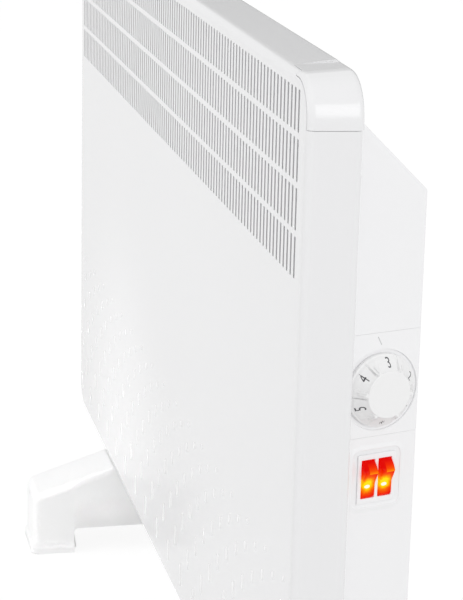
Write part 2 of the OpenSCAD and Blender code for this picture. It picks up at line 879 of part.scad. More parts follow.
// Mains wires from the terminal block to the switch, to the heating tube and, by way of the cut-out, back again
module wiring() {
    top_z = foot_h + block_z + block_h;
    low_z = foot_h + 50;
    wire_y = rear_y - sheet_t - block_d / 2;
    tube_left = element_x - element_l / 2;
    tube_right = element_x + element_l / 2;
    cutout_top = [cutout_x + 4, shield_y + 14, cutout_z + 3];
    color("#D8D8D2") {
        for (i = [-1, 1]) {
            tag = end_point(-housing_d - terminal_l - wire_r - 0.1, switch_y - i * rocker_pitch / 2, switch_z - 9);
            wire_run([
                [block_x + i * 9, wire_y, top_z - 6],
                [block_x + i * 9, wire_y, top_z + 14 + 4 * i],
                [tag[0] - 6, tag[1], tag[2] - 8],
                tag
            ], wire_r);
        }
        wire_run([
            [block_x, wire_y, top_z - 6],
            [block_x, wire_y, top_z + 26],
            [tube_right + 12, element_y, top_z + 20],
            [tube_right + 8, element_y, element_z],
            [tube_right, element_y, element_z]
        ], wire_r);
        wire_run([
            [tube_left, element_y, element_z],
            [tube_left - 8, element_y, element_z],
            [tube_left - 8, element_y, low_z],
            [tube_right + 5, element_y, low_z],
            [tube_right + 5, shield_y + 14, low_z + 30],
            [tube_right + 5, shield_y + 14, cutout_top[2] + 10],
            [cutout_top[0], cutout_top[1], cutout_top[2] + 10],
            cutout_top
        ], wire_r);
    }
}

module cable_gland() {
    color(dark) translate([gland_x, rear_y, foot_h + gland_z]) rotate([-90, 0, 0]) difference() {
        union() {
            cylinder(r = gland_body_r + 3, h = 3);
            translate([0, 0, -sheet_t - 4]) cylinder(r = gland_body_r, h = sheet_t + 5);
            translate([0, 0, 3]) cylinder(r = gland_body_r - 1, h = 6);
        }
        cylinder(r = gland_r, h = 60, center = true);
    }
}

module foot_screw_places() {
    for (x = [-1, 1], y = foot_screw_y) {
        translate([x * foot_spacing / 2, y, plinth_top]) children();
    }
}

// One leg and half of the foot's top, front side: a rounded block that rises from its outer end to the body
module toe() {
    half_w = foot_w / 2 - foot_round;
    out_y = -foot_l / 2 + toe_in + foot_round;
    hull($fn = 32) for (x = [-half_w, half_w]) {
        translate([x, front_y + 2, foot_top_z - foot_round]) sphere(foot_round, $fn = 32);
        translate([x, 0, foot_top_z - foot_round]) rotate([90, 0, 0]) cylinder(r = foot_round, h = 1, $fn = 32);
        translate([x, out_y, toe_top_z - foot_round]) sphere(foot_round, $fn = 32);
        translate([x, out_y, leg_foot_h - 2]) cylinder(r = foot_round, h = 1, $fn = 32);
        translate([x, -1, leg_foot_h - 2]) cylinder(r = foot_round - 1, h = 1, $fn = 32);
    }
}

// The spread base of one leg
module leg_base() {
    half_w = foot_w / 2 + foot_spread - foot_round;
    toe_y = -foot_l / 2 + foot_round;
    hull($fn = 32) for (x = [-half_w, half_w], y = [toe_y, -foot_l / 2 + leg_l - 1]) {
        r = y == toe_y ? foot_round : 1;
        translate([x, y, pad_out]) cylinder(r = r, h = leg_foot_h - 2);
        translate([x * 0.93, y * 0.99, leg_foot_h - 1]) cylinder(r = r, h = 1);
    }
}

module foot() {
    inner_y = foot_l / 2 - leg_l;
    in_w = foot_w - 2 * foot_wall;
    top_in = foot_top_z - foot_wall;
    leg_in = foot_l / 2 - toe_in - foot_wall;
    color("#F6F6F6") difference() {
        union() {
            for (s = [0, 1]) {
                mirror([0, s, 0]) {
                    toe();
                    leg_base();
                }
            }
            translate([-foot_w / 2 + foot_round, lip_y + 1, foot_top_z - 5])
                cube([foot_w - 2 * foot_round, rear_y - lip_y - 1, plinth_top - foot_top_z + 5]);
        }
        // The arch, with rounded upper corners
        translate([-foot_w, -inner_y, -1]) cube([2 * foot_w, 2 * inner_y, arch_h + 1 - arch_r]);
        translate([-foot_w, arch_r - inner_y, 0]) cube([2 * foot_w, 2 * (inner_y - arch_r), arch_h]);
        for (s = [-1, 1]) {
            translate([-foot_w, s * (inner_y - arch_r), arch_h - arch_r])
                rotate([0, 90, 0]) cylinder(r = arch_r, h = 2 * foot_w);
        }
        // The hollow inside the moulding, open to the arch
        along_x(-in_w / 2, in_w / 2) polygon([
            [-leg_in, leg_foot_h + foot_wall],
            [-leg_in, toe_top_z - foot_wall - 4],
            [-leg_in + 5, toe_top_z - foot_wall],
            [front_y, top_in - 2],
            [-front_y, top_in - 2],
            [leg_in - 5, toe_top_z - foot_wall],
            [leg_in, toe_top_z - foot_wall - 4],
            [leg_in, leg_foot_h + foot_wall]
        ]);
        translate([-foot_w / 2 + foot_round + foot_wall, lip_y + 1 + foot_wall, top_in - 6])
            cube([in_w - 2 * foot_round, rear_y - lip_y - 1 - 2 * foot_wall, plinth_top - top_in + 6 - foot_wall]);
        for (y = foot_screw_y) {
            translate([0, y, plinth_top]) cylinder(r = foot_screw_r + gap, h = 20, center = true);
        }
        pad_places(0) translate([0, 0, -1]) cylinder(r = pad_r + gap, h = pad_out + 2.5);
    }
}

module pad_places(x) {
    for (y = [-1, 1]) {
        translate([x, y * (foot_l / 2 - leg_l / 2), 0]) children();
    }
}

module foot_left() {
    translate([-foot_spacing / 2, 0, 0]) foot();
}

module foot_right() {
    translate([foot_spacing / 2, 0, 0]) foot();
}

module foot_pads() {
    color(dark) for (x = [-1, 1]) {
        pad_places(x * foot_spacing / 2) cylinder(r = pad_r, h = pad_out + 1.5);
    }
}

module foot_screws() {
    color(steel) foot_screw_places() {
        translate([0, 0, -foot_wall - 2.4]) cylinder(r = 3.8, h = 2.4);
        translate([0, 0, -foot_wall - 0.01]) cylinder(r = foot_screw_r, h = foot_wall + 7);
    }
}

module casing_screws() {
    color(steel) casing_screw_places() rotate([-90, 0, 0]) pan_screw(7);
}

front_panel();
corner_cap_left();
corner_cap_right();
rear_casing();
thermostat_panel();
thermostat_knob();
thermostat_shaft();
thermostat_body();
thermostat_screws();
sensor_bulb();
sensor_clip();
switch_frame();
switch_bezel();
switch_housing();
switch_terminals();
rocker_front();
rocker_rear();
rocker_pin();
indicator_lamps();
heating_tube();
heating_fins();
element_bracket_left();
element_bracket_right();
element_bushes();
heat_shield();
thermal_cutout();
terminal_block();
wiring();
cable_gland();
foot_left();
foot_right();
foot_pads();
foot_screws();
casing_screws();
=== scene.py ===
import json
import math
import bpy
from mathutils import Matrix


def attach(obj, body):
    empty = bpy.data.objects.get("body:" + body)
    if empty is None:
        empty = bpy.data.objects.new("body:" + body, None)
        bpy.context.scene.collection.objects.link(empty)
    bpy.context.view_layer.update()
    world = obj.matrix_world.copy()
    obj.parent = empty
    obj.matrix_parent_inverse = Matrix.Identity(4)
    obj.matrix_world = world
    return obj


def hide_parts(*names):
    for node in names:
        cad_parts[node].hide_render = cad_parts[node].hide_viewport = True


bl_info = {
    "name": "Convector heater finish",
    "version": (1, 0, 0),
    "blender": (4, 5, 0),
    "location": "View3D > Sidebar > Heater",
    "description": "Builds the enamelled, moulded and lit surfaces of a convector heater on its model",
    "category": "Object",
}

from types import SimpleNamespace

import bmesh
import bpy
import numpy as np
from bpy.props import FloatProperty, FloatVectorProperty, IntProperty, PointerProperty
from mathutils import Matrix, Vector

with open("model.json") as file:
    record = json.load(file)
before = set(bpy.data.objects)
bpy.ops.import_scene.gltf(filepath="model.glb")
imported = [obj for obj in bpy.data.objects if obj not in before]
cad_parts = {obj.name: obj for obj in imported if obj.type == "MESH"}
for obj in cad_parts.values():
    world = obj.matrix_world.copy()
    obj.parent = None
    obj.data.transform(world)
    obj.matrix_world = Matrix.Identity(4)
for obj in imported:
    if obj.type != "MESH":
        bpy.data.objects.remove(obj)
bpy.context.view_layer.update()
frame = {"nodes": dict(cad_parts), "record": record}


def linear(hex_colour):
    """sRGB hex to linear RGB: c / 12.92 below 0.04045, else ((c + 0.055) / 1.055) ** 2.4."""
    c = np.array([int(hex_colour[i : i + 2], 16) for i in (1, 3, 5)]) / 255.0
    return tuple(np.where(c <= 0.04045, c / 12.92, ((c + 0.055) / 1.055) ** 2.4))


# Sizes and colours


def length(name, description, default):
    """A size in metres that the sidebar shows in the scene's own unit."""
    return FloatProperty(
        name=name, description=description, default=default, unit="LENGTH", subtype="DISTANCE", precision=4
    )


def colour(name, description, hex_colour):
    """A colour that is given in sRGB hex and kept as linear RGB."""
    return FloatVectorProperty(
        name=name, description=description, default=linear(hex_colour), size=3,
        min=0.0, max=1.0, subtype="COLOR",
    )


class HeaterBodySizes(bpy.types.PropertyGroup):
    """The front shell and the casing behind it"""

    width: length("Width", "Width of the front outline", 0.806)
    height: length("Height", "Height of the front outline", 0.450)
    depth: length("Depth", "Depth from the front face to the rear face", 0.0796)
    shell_depth: length("Shell depth", "Depth of the front shell", 0.0322)
    corner_radius: length("Corner radius", "Radius of the corners of the front outline", 0.024)
    front_round: length("Front rounding", "Rounding along the front edge of the shell", 0.006)
    rear_round: length("Rear rounding", "Rounding along the rear edge of the shell", 0.004)
    sheet: length("Sheet", "Thickness of the sheet steel", 0.001)
    floor_gap: length("Floor gap", "Height of the body's bottom edge above the floor", 0.077)
    flare: FloatProperty(
        name="Flare", description="Outward flare of the shell's walls",
        default=math.radians(5.8), subtype="ANGLE",
    )
    taper: FloatProperty(
        name="Taper", description="Inward taper of the casing's ends",
        default=math.radians(14.75), subtype="ANGLE",
    )
    slope: FloatProperty(
        name="Top slope", description="Slope of the casing's top",
        default=math.radians(44.25), subtype="ANGLE",
    )
    side_inset: length("Side inset", "Distance from the shell's rear edge in to the casing", 0.0154)
    top_inset: length("Top inset", "Distance from the shell's top edge down to the casing", 0.0265)
    cap_past: length("Cap overhang", "How far the caps reach behind the shell's rear edge", 0.0008)


class HeaterSlotSizes(bpy.types.PropertyGroup):
    """The air slots of the front"""

    rows: IntProperty(name="Rows", description="Rows of air slots", default=4, min=1)
    width: length("Slot width", "Width of one slot", 0.0033)
    length: length("Slot length", "Length of one slot", 0.0243)
    pitch: length("Slot pitch", "Distance from one column of slots to the next", 0.00828)
    row_pitch: length("Row pitch", "Distance from one row of slots to the next", 0.028)
    top_margin: length("Top margin", "Distance from the top of the front outline to the first row", 0.0087)
    side_margin: length("Side margin", "Distance from the side to the middle of the last column", 0.0179)


class HeaterControlSizes(bpy.types.PropertyGroup):
    """The thermostat and the switch on the right end"""

    knob_height: length("Knob height", "Height of the knob's axis above the body's bottom edge", 0.2636)
    along: length("Place along the end", "Distance from the casing's front edge to the knob's axis", 0.0229)
    knob_radius: length("Knob radius", "Radius of the knob", 0.0223)
    knob_out: length("Knob depth", "How far the knob stands out", 0.0105)
    grip_radius: length("Grip radius", "Radius of the knob's raised middle", 0.0142)
    panel_height: length("Panel height", "Height of the thermostat panel", 0.063)
    switch_height: length("Switch height", "Height of the switch above the body's bottom edge", 0.2095)
    frame_width: length("Switch frame width", "Width of the frame round the switch", 0.0324)
    rocker_width: length("Rocker width", "Width of one rocker", 0.0085)
    rocker_radius: length("Rocker radius", "Radius of the rockers' ends about their pivot", 0.0134)
    rocker_pitch: length("Rocker pitch", "Distance from one rocker to the other", 0.0115)
    lamp_place: length("Lamp place", "Height of the lamps, from the middle of the switch", -0.0040)


class HeaterFootSizes(bpy.types.PropertyGroup):
    """The two feet"""

    width: length("Width", "Width of a foot", 0.054)
    length: length("Length", "Length of a foot from front to back", 0.222)
    spacing: length("Spacing", "Distance between the middles of the two feet", 0.480)
    leg: length("Leg length", "Length of one leg from front to back", 0.037)
    arch: length("Arch height", "Height of the arch under a foot", 0.022)
    edge: length("Edge rounding", "Rounding along the top edges of a foot", 0.006)


class HeaterColours(bpy.types.PropertyGroup):
    """The colours that the eye meets first"""

    enamel: colour("Enamel", "Baked white enamel of the front shell", "#EDEDEE")
    casing: colour("Casing enamel", "Baked white enamel of the rear casing", "#F4F4F5")
    plastic: colour("Moulded plastic", "White plastic of the caps, the panel and the switch frame", "#F4F4F5")
    # The feet's white is brightened as painted light, for light that the lamps don't bring to the feet
    foot: colour("Foot plastic", "White plastic of the feet", "#FBFBFB")
    knob: colour("Knob plastic", "White plastic of the knob", "#F2F2F2")
    numeral: colour("Dial print", "Grey print of the dial's numbers", "#4A4A4E")
    lens: colour("Lens", "Red of the lit rockers, as far as it shines by itself", "#D80000")
    glow: colour("Glow", "Yellow round the lamps in the rockers", "#FFBE00")


# Steps on the right end in mm: from the knob's axis up to the middle of the thermostat panel and forward to
# the middle of the switch, and from there up to the lit ridge of the rockers
PANEL_UP = 3.4
SWITCH_FORWARD = 0.8
RIDGE_UP = 4.5


def body_mm():
    """The body's sizes in millimetres, with the places that follow from them. x is counted from the middle, y
    from the middle of the depth to the rear, z from the body's bottom edge. uf and ur are the distances of
    the front and rear rounding's centres from a corner's axis."""
    g = bpy.context.scene.heater_body
    s = SimpleNamespace(
        w=g.width * 1e3,
        h=g.height * 1e3,
        d=g.depth * 1e3,
        shell=g.shell_depth * 1e3,
        corner=g.corner_radius * 1e3,
        front_round=g.front_round * 1e3,
        rear_round=g.rear_round * 1e3,
        sheet=g.sheet * 1e3,
        floor=g.floor_gap * 1e3,
        flare=g.flare,
        taper=g.taper,
        slope=g.slope,
    )
    s.front_y = -s.d / 2
    s.rear_y = s.d / 2
    s.lip_y = s.front_y + s.shell
    s.run = s.shell * math.tan(s.flare)
    s.cx = s.w / 2 - s.corner
    s.cz = s.h - s.corner
    s.side_inset = g.side_inset * 1e3
    s.past = g.cap_past * 1e3
    s.case_hw = s.w / 2 + s.run - s.side_inset
    s.case_low = s.side_inset - s.run
    s.case_top = s.h + s.run - g.top_inset * 1e3
    s.case_rear_hw = s.case_hw - (s.rear_y - s.lip_y) * math.tan(s.taper)
    s.end_l = (s.rear_y - s.lip_y) / math.cos(s.taper)
    s.uf = s.corner - s.front_round * (1 - math.sin(s.flare)) / math.cos(s.flare)
    s.ur = s.corner + ((s.shell - s.rear_round) * math.sin(s.flare) - s.rear_round) / math.cos(s.flare)
    return s


def controls_mm():
    """The sizes and places of the thermostat and the switch in millimetres, in the right end's own frame."""
    g = bpy.context.scene.heater_controls
    k = SimpleNamespace(
        knob_z=g.knob_height * 1e3,
        y=g.along * 1e3,
        knob_r=g.knob_radius * 1e3,
        knob_h=g.knob_out * 1e3,
        grip=g.grip_radius * 1e3,
        panel_h=g.panel_height * 1e3,
        switch_z=g.switch_height * 1e3,
        switch_y=g.along * 1e3 - SWITCH_FORWARD,
        frame_w=g.frame_width * 1e3,
        rocker_w=g.rocker_width * 1e3,
        rocker_r=g.rocker_radius * 1e3,
        rocker_pitch=g.rocker_pitch * 1e3,
        lamp_z=g.lamp_place * 1e3,
    )
    k.panel_low = k.knob_z - k.panel_h / 2 + PANEL_UP
    k.panel_high = k.panel_low + k.panel_h
    return k


def on_end(s, x, y, z):
    """From the right end's own frame (out, back along it, up from the body's bottom) to the shared frame, in
    mm: a turn by the taper about Z, then a shift to the casing's front edge."""
    c, n = math.cos(s.taper), math.sin(s.taper)
    x, y, z = np.broadcast_arrays(x, y, z)
    return np.stack([s.case_hw + x * c - y * n, s.lip_y + x * n + y * c, s.floor + z], axis=-1)


# Mesh helpers


def grid_quads(rows, cols, keep=None, start=0, loop_rows=False):
    """Quads of a rows by cols grid of points stored row by row: (i, j), (i, j+1), (i+1, j+1), (i+1, j). keep
    says which cells stay, start is the first point's number, and loop_rows joins the last row to the
    first."""
    r = np.arange(rows if loop_rows else rows - 1)
    i, j = np.meshgrid(r, np.arange(cols - 1), indexing="ij")
    k = (i + 1) % rows
    q = np.stack([i * cols + j, i * cols + j + 1, k * cols + j + 1, k * cols + j], axis=-1) + start
    q = q.reshape(-1, 4)
    return q if keep is None else q[keep.reshape(-1)]


def make_piece(name, parts, body, material, faces_out=None, weld=2e-6):
    """One object from (points in mm, quads) pairs. Doubles closer than weld metres are merged. faces_out is a
    point in mm, such as the middle of a closed form, that every face should look away from: where the whole
    mesh looks towards it, it is turned over."""
    mesh = bpy.data.meshes.new(name)
    verts, faces, n = [], [], 0
    for points, quads in parts:
        points = np.asarray(points, float).reshape(-1, 3)
        verts.append(points / 1e3)
        faces.append(np.asarray(quads) + n)
        n += len(points)
    mesh.from_pydata(np.concatenate(verts).tolist(), [], np.concatenate(faces).tolist())
    bm = bmesh.new()
    bm.from_mesh(mesh)
    bmesh.ops.remove_doubles(bm, verts=bm.verts, dist=weld)
    bmesh.ops.dissolve_degenerate(bm, edges=bm.edges, dist=weld)
    bmesh.ops.delete(bm, geom=[v for v in bm.verts if not v.link_faces], context="VERTS")
    if faces_out is not None:
        bmesh.ops.recalc_face_normals(bm, faces=bm.faces)
        middle = Vector(faces_out) / 1e3
        away = sum(f.normal.dot(f.calc_center_median() - middle) * f.calc_area() for f in bm.faces)
        if away < 0:
            bmesh.ops.reverse_faces(bm, faces=bm.faces)
    bm.to_mesh(mesh)
    bm.free()
    mesh.polygons.foreach_set("use_smooth", np.ones(len(mesh.polygons), bool))
    mesh.materials.append(material)
    obj = bpy.data.objects.new(name, mesh)
    bpy.context.scene.collection.objects.link(obj)
    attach(obj, body)
    return obj


def thicken(obj, mm, even=True):
    """Gives a skin its wall, inwards. Even walls need corners that aren't needle sharp."""
    m = obj.modifiers.new("wall", "SOLIDIFY")
    m.thickness = mm / 1e3
    m.offset = -1
    m.use_even_offset = even


def soften(obj, mm, segments=2, angle=35):
    """A small round on every sharp edge, then normals that keep the flats flat."""
    b = obj.modifiers.new("edge round", "BEVEL")
    b.width = mm / 1e3
    b.segments = segments
    b.limit_method = "ANGLE"
    b.angle_limit = math.radians(angle)
    b.use_clamp_overlap = True
    w = obj.modifiers.new("flat flats", "WEIGHTED_NORMAL")
    w.keep_sharp = False
    w.weight = 80


def lines(*groups):
    """Sorted grid lines without repeats."""
    return np.unique(np.round(np.concatenate([np.atleast_1d(np.asarray(g, float)) for g in groups]), 4))


def rounded_path(corners, radii, steps=8, closed=False):
    """A polyline whose corners are arcs, with the left-hand normal at each point: at a corner with turn a and
    radius r the arc starts r * tan(a / 2) before it."""
    c = np.asarray(corners, float)
    n = len(c)
    pts, nrm = [], []
    for i in range(n):
        inner = closed or 0 < i < n - 1
        if not inner:
            t = c[1] - c[0] if i == 0 else c[-1] - c[-2]
            t = t / np.linalg.norm(t)
            pts.append(c[i])
            nrm.append([-t[1], t[0]])
            continue
        a = c[i] - c[i - 1]
        b = c[(i + 1) % n] - c[i]
        a, b = a / np.linalg.norm(a), b / np.linalg.norm(b)
        turn = math.atan2(a[0] * b[1] - a[1] * b[0], a @ b)
        r = radii[i]
        na = np.array([-a[1], a[0]])
        start = c[i] - a * r * abs(math.tan(turn / 2))
        centre = start + na * r * math.copysign(1, turn)
        k = np.linspace(0, turn, steps + 1)[:, None]
        normal = np.cos(k) * na + np.sin(k) * (-a)
        pts.extend(centre - normal * r * math.copysign(1, turn))
        nrm.extend(normal)
    return np.array(pts), np.array(nrm)


def refine(points, normals, axis, values):
    """Puts extra points where the polyline crosses the given values of one coordinate."""
    for v in values:
        a, b = points[:-1, axis], points[1:, axis]
        hit = np.where((a - v) * (b - v) < -1e-9)[0]
        for i in hit[::-1]:
            t = (v - points[i, axis]) / (points[i + 1, axis] - points[i, axis])
            points = np.insert(points, i + 1, points[i] * (1 - t) + points[i + 1] * t, axis=0)
            normals = np.insert(normals, i + 1, normals[i] * (1 - t) + normals[i + 1] * t, axis=0)
    return points, normals


# Finishes


def add(tree, kind, links=(), **settings):
    """Adds a node, sets its properties or sockets by name and links (from node, output, input)."""
    n = tree.nodes.new(kind)
    for key, value in settings.items():
        if hasattr(n, key):
            setattr(n, key, value)
        else:
            n.inputs[key.replace("_", " ")].default_value = value
    for source, out, into in links:
        tree.links.new(source.outputs[out], n.inputs[into])
    return n


def cleared_tree(owner):
    """The node tree of a world or a material, emptied."""
    owner.use_nodes = True
    owner.node_tree.nodes.clear()
    return owner.node_tree


def finish_material(name, base, roughness, metallic=0.0, ior=1.5):
    """An empty material with a Principled shader whose constants stand on its own sockets."""
    m = bpy.data.materials.new(name)
    t = cleared_tree(m)
    out = add(t, "ShaderNodeOutputMaterial")
    p = add(t, "ShaderNodeBsdfPrincipled")
    p.inputs["Base Color"].default_value = (*base, 1)
    p.inputs["Roughness"].default_value = roughness
    p.inputs["Metallic"].default_value = metallic
    p.inputs["IOR"].default_value = ior
    t.links.new(p.outputs[0], out.inputs[0])
    return m, t, p


def uneven(t, p, base, wave_mm, depth_mm, spread, rough=None, rough_spread=0.0, stretch=(1, 1, 1)):
    """Colour, roughness and bump from one noise whose waves are wave_mm apart on the real piece. The colour
    goes up and down by the share spread, the roughness by rough_spread and the surface by depth_mm. stretch
    below 1 draws the waves out along that axis."""
    place = add(t, "ShaderNodeTexCoord")
    size = add(t, "ShaderNodeMapping", [(place, "Object", "Vector")])
    size.inputs["Scale"].default_value = tuple(1000.0 / wave_mm * k for k in stretch)
    wave = add(t, "ShaderNodeTexNoise", [(size, "Vector", "Vector")], Scale=1.0, Detail=3.0, Roughness=0.55)
    tint = add(t, "ShaderNodeMix", [(wave, "Fac", "Factor")], data_type="RGBA")
    tint.inputs[6].default_value = (*[c * (1 - spread) for c in base], 1)
    tint.inputs[7].default_value = (*[min(1, c * (1 + spread)) for c in base], 1)
    t.links.new(tint.outputs[2], p.inputs["Base Color"])
    if rough is not None:
        low, high = rough - rough_spread, rough + rough_spread
        # The noise hardly leaves the values from 0.3 to 0.7
        reach = {"From Min": 0.3, "From Max": 0.7, "To Min": low, "To Max": high}
        r = add(t, "ShaderNodeMapRange", [(wave, "Fac", "Value")], **reach)
        t.links.new(r.outputs[0], p.inputs["Roughness"])
    bump = add(t, "ShaderNodeBump", [(wave, "Fac", "Height")], Strength=1.0, Distance=depth_mm / 1e3)
    t.links.new(bump.outputs[0], p.inputs["Normal"])


def grained(
    name, base, roughness, wave_mm, depth_mm, spread=0.002, rough_spread=0.008, stretch=(1, 1, 1), **shader
):
    """A finish with the same fine unevenness in its colour, gloss and surface."""
    m, t, p = finish_material(name, base, roughness, **shader)
    uneven(t, p, base, wave_mm, depth_mm, spread, roughness, rough_spread, stretch)
    return m


def make_finishes():
    """Every finish of the heater, by the record's slot name or by a name of its own."""
    c = bpy.context.scene.heater_colours
    made = {}

    # Baked enamel on steel: a smooth, hard gloss whose faint orange peel, 2.6 mm from wave to wave, softens
    # the mirror image of whatever stands before it
    made["white_enamel"] = grained("baked_enamel_front", tuple(c.enamel), 0.16, 2.6, 0.0003)
    # The casing's enamel is half as glossy, so its folds show by their shade and not by highlights
    made["white_enamel_side"] = grained("baked_enamel_casing", tuple(c.casing), 0.34, 2.6, 0.0003)
    # The dashes get a lighter white than the front, so that they stand out lighter against it
    made["dash_coat"] = grained("raised_dash_white", linear("#FCFCFC"), 0.3, 2.6, 0.0003)

    # Injection-moulded ABS: an even white with a fine spark-eroded grain, 0.9 mm, that spreads its highlights
    made["white_plastic"] = grained("moulded_abs", tuple(c.plastic), 0.32, 0.9, 0.0001, ior=1.53)
    # The caps come from a polished mould: the same ABS with a sharper, brighter highlight. Its white is
    # greyed a touch as painted shade, which dims the caps to the level they show under these lamps
    polished = tuple(0.94 * v for v in c.plastic)
    made["cap_plastic"] = grained(
        "polished_cap_abs", polished, 0.16, 1.8, 0.0001, rough_spread=0.006, ior=1.53
    )
    # The knob's mould has a coarser grain, so that its flank shades softly from light to grey
    made["knob_plastic"] = grained("moulded_knob_abs", tuple(c.knob), 0.38, 0.9, 0.0001, ior=1.53)
    # Polypropylene feet: softer and duller than the ABS. Their white is brightened past the other plastics as
    # painted light, which lifts the feet to a brightness the lamps don't give them
    made["foot_plastic"] = grained("moulded_polypropylene", tuple(c.foot), 0.42, 1.2, 0.0002, ior=1.49)

    # Zinc-plated sheet: grey metal with a rolling grain along X that draws its highlights out into streaks
    made["zinc_steel"] = grained("zinc_plated_steel", linear("#B9BCC0"), 0.36, 1.5, 0.002, 0.06, 0.1,
                                 stretch=(0.1, 1, 1), metallic=1.0)
    # Sheath of the element, browned and blued by its own heat: dark metal with broad, cloudy patches
    made["tube_steel"] = grained("heat_blued_steel_tube", linear("#77777C"), 0.42, 6.0, 0.002, 0.12, 0.1,
                                 metallic=1.0)
    # Rolled aluminium of the fins: bright metal, streaked along Z
    made["fin_aluminium"] = grained("rolled_aluminium_fin", linear("#C9CCD0"), 0.3, 1.0, 0.002, 0.04, 0.08,
                                    stretch=(1, 1, 0.1), metallic=1.0)
    # Drawn brass of the tags and the bulb: a warm yellow gleam
    brass = linear("#C9A75A")
    made["copper_brass"] = grained("drawn_brass", brass, 0.3, 2.0, 0.001, 0.05, 0.08, metallic=1.0)

    # Pressed, unglazed steatite: a warm, dull white with a powdery grain
    made["ceramic_white"] = grained("pressed_steatite", linear("#E8E2D4"), 0.55, 0.8, 0.01, 0.03, 0.08)
    # Black nylon: nearly black with a broad, dim sheen
    made["black_plastic"] = grained("black_nylon", linear("#1C1C1E"), 0.5, 0.8, 0.006, 0.08, 0.08)
    # Grey rubber: dark and dull, with next to no highlight
    made["grey_rubber"] = grained("grey_rubber", linear("#3A3A3C"), 0.7, 0.7, 0.01, 0.1, 0.1)
    # Woven glass fibre round the wires: a matt straw white whose weave breaks up the light
    made["wire_sleeve"] = grained("glass_fibre_sleeve", linear("#D8D4C8"), 0.8, 0.6, 0.03, 0.08, 0.05)
    # Pad-printed figures: a dark grey film with a satin surface
    made["ink"] = grained("pad_printed_ink", tuple(c.numeral), 0.5, 0.3, 0.001, 0.05, 0.05)
    # The index mark's ink: only a little darker than the panel
    made["faint_ink"] = grained("pale_printed_ink", linear("#CBCBCC"), 0.5, 0.3, 0.001, 0.02, 0.02)

    made["lit_lens"] = lens_finish(c)
    # Glass of the neon lamps: it shines orange by itself
    base = linear("#FFC36A")
    m, t, p = finish_material("neon_lamp", base, 0.2)
    uneven(t, p, base, 1.0, 0.001, 0.05)
    p.inputs["Emission Color"].default_value = (*base, 1)
    p.inputs["Emission Strength"].default_value = 1.0
    made["lamp_glow"] = m
    return made


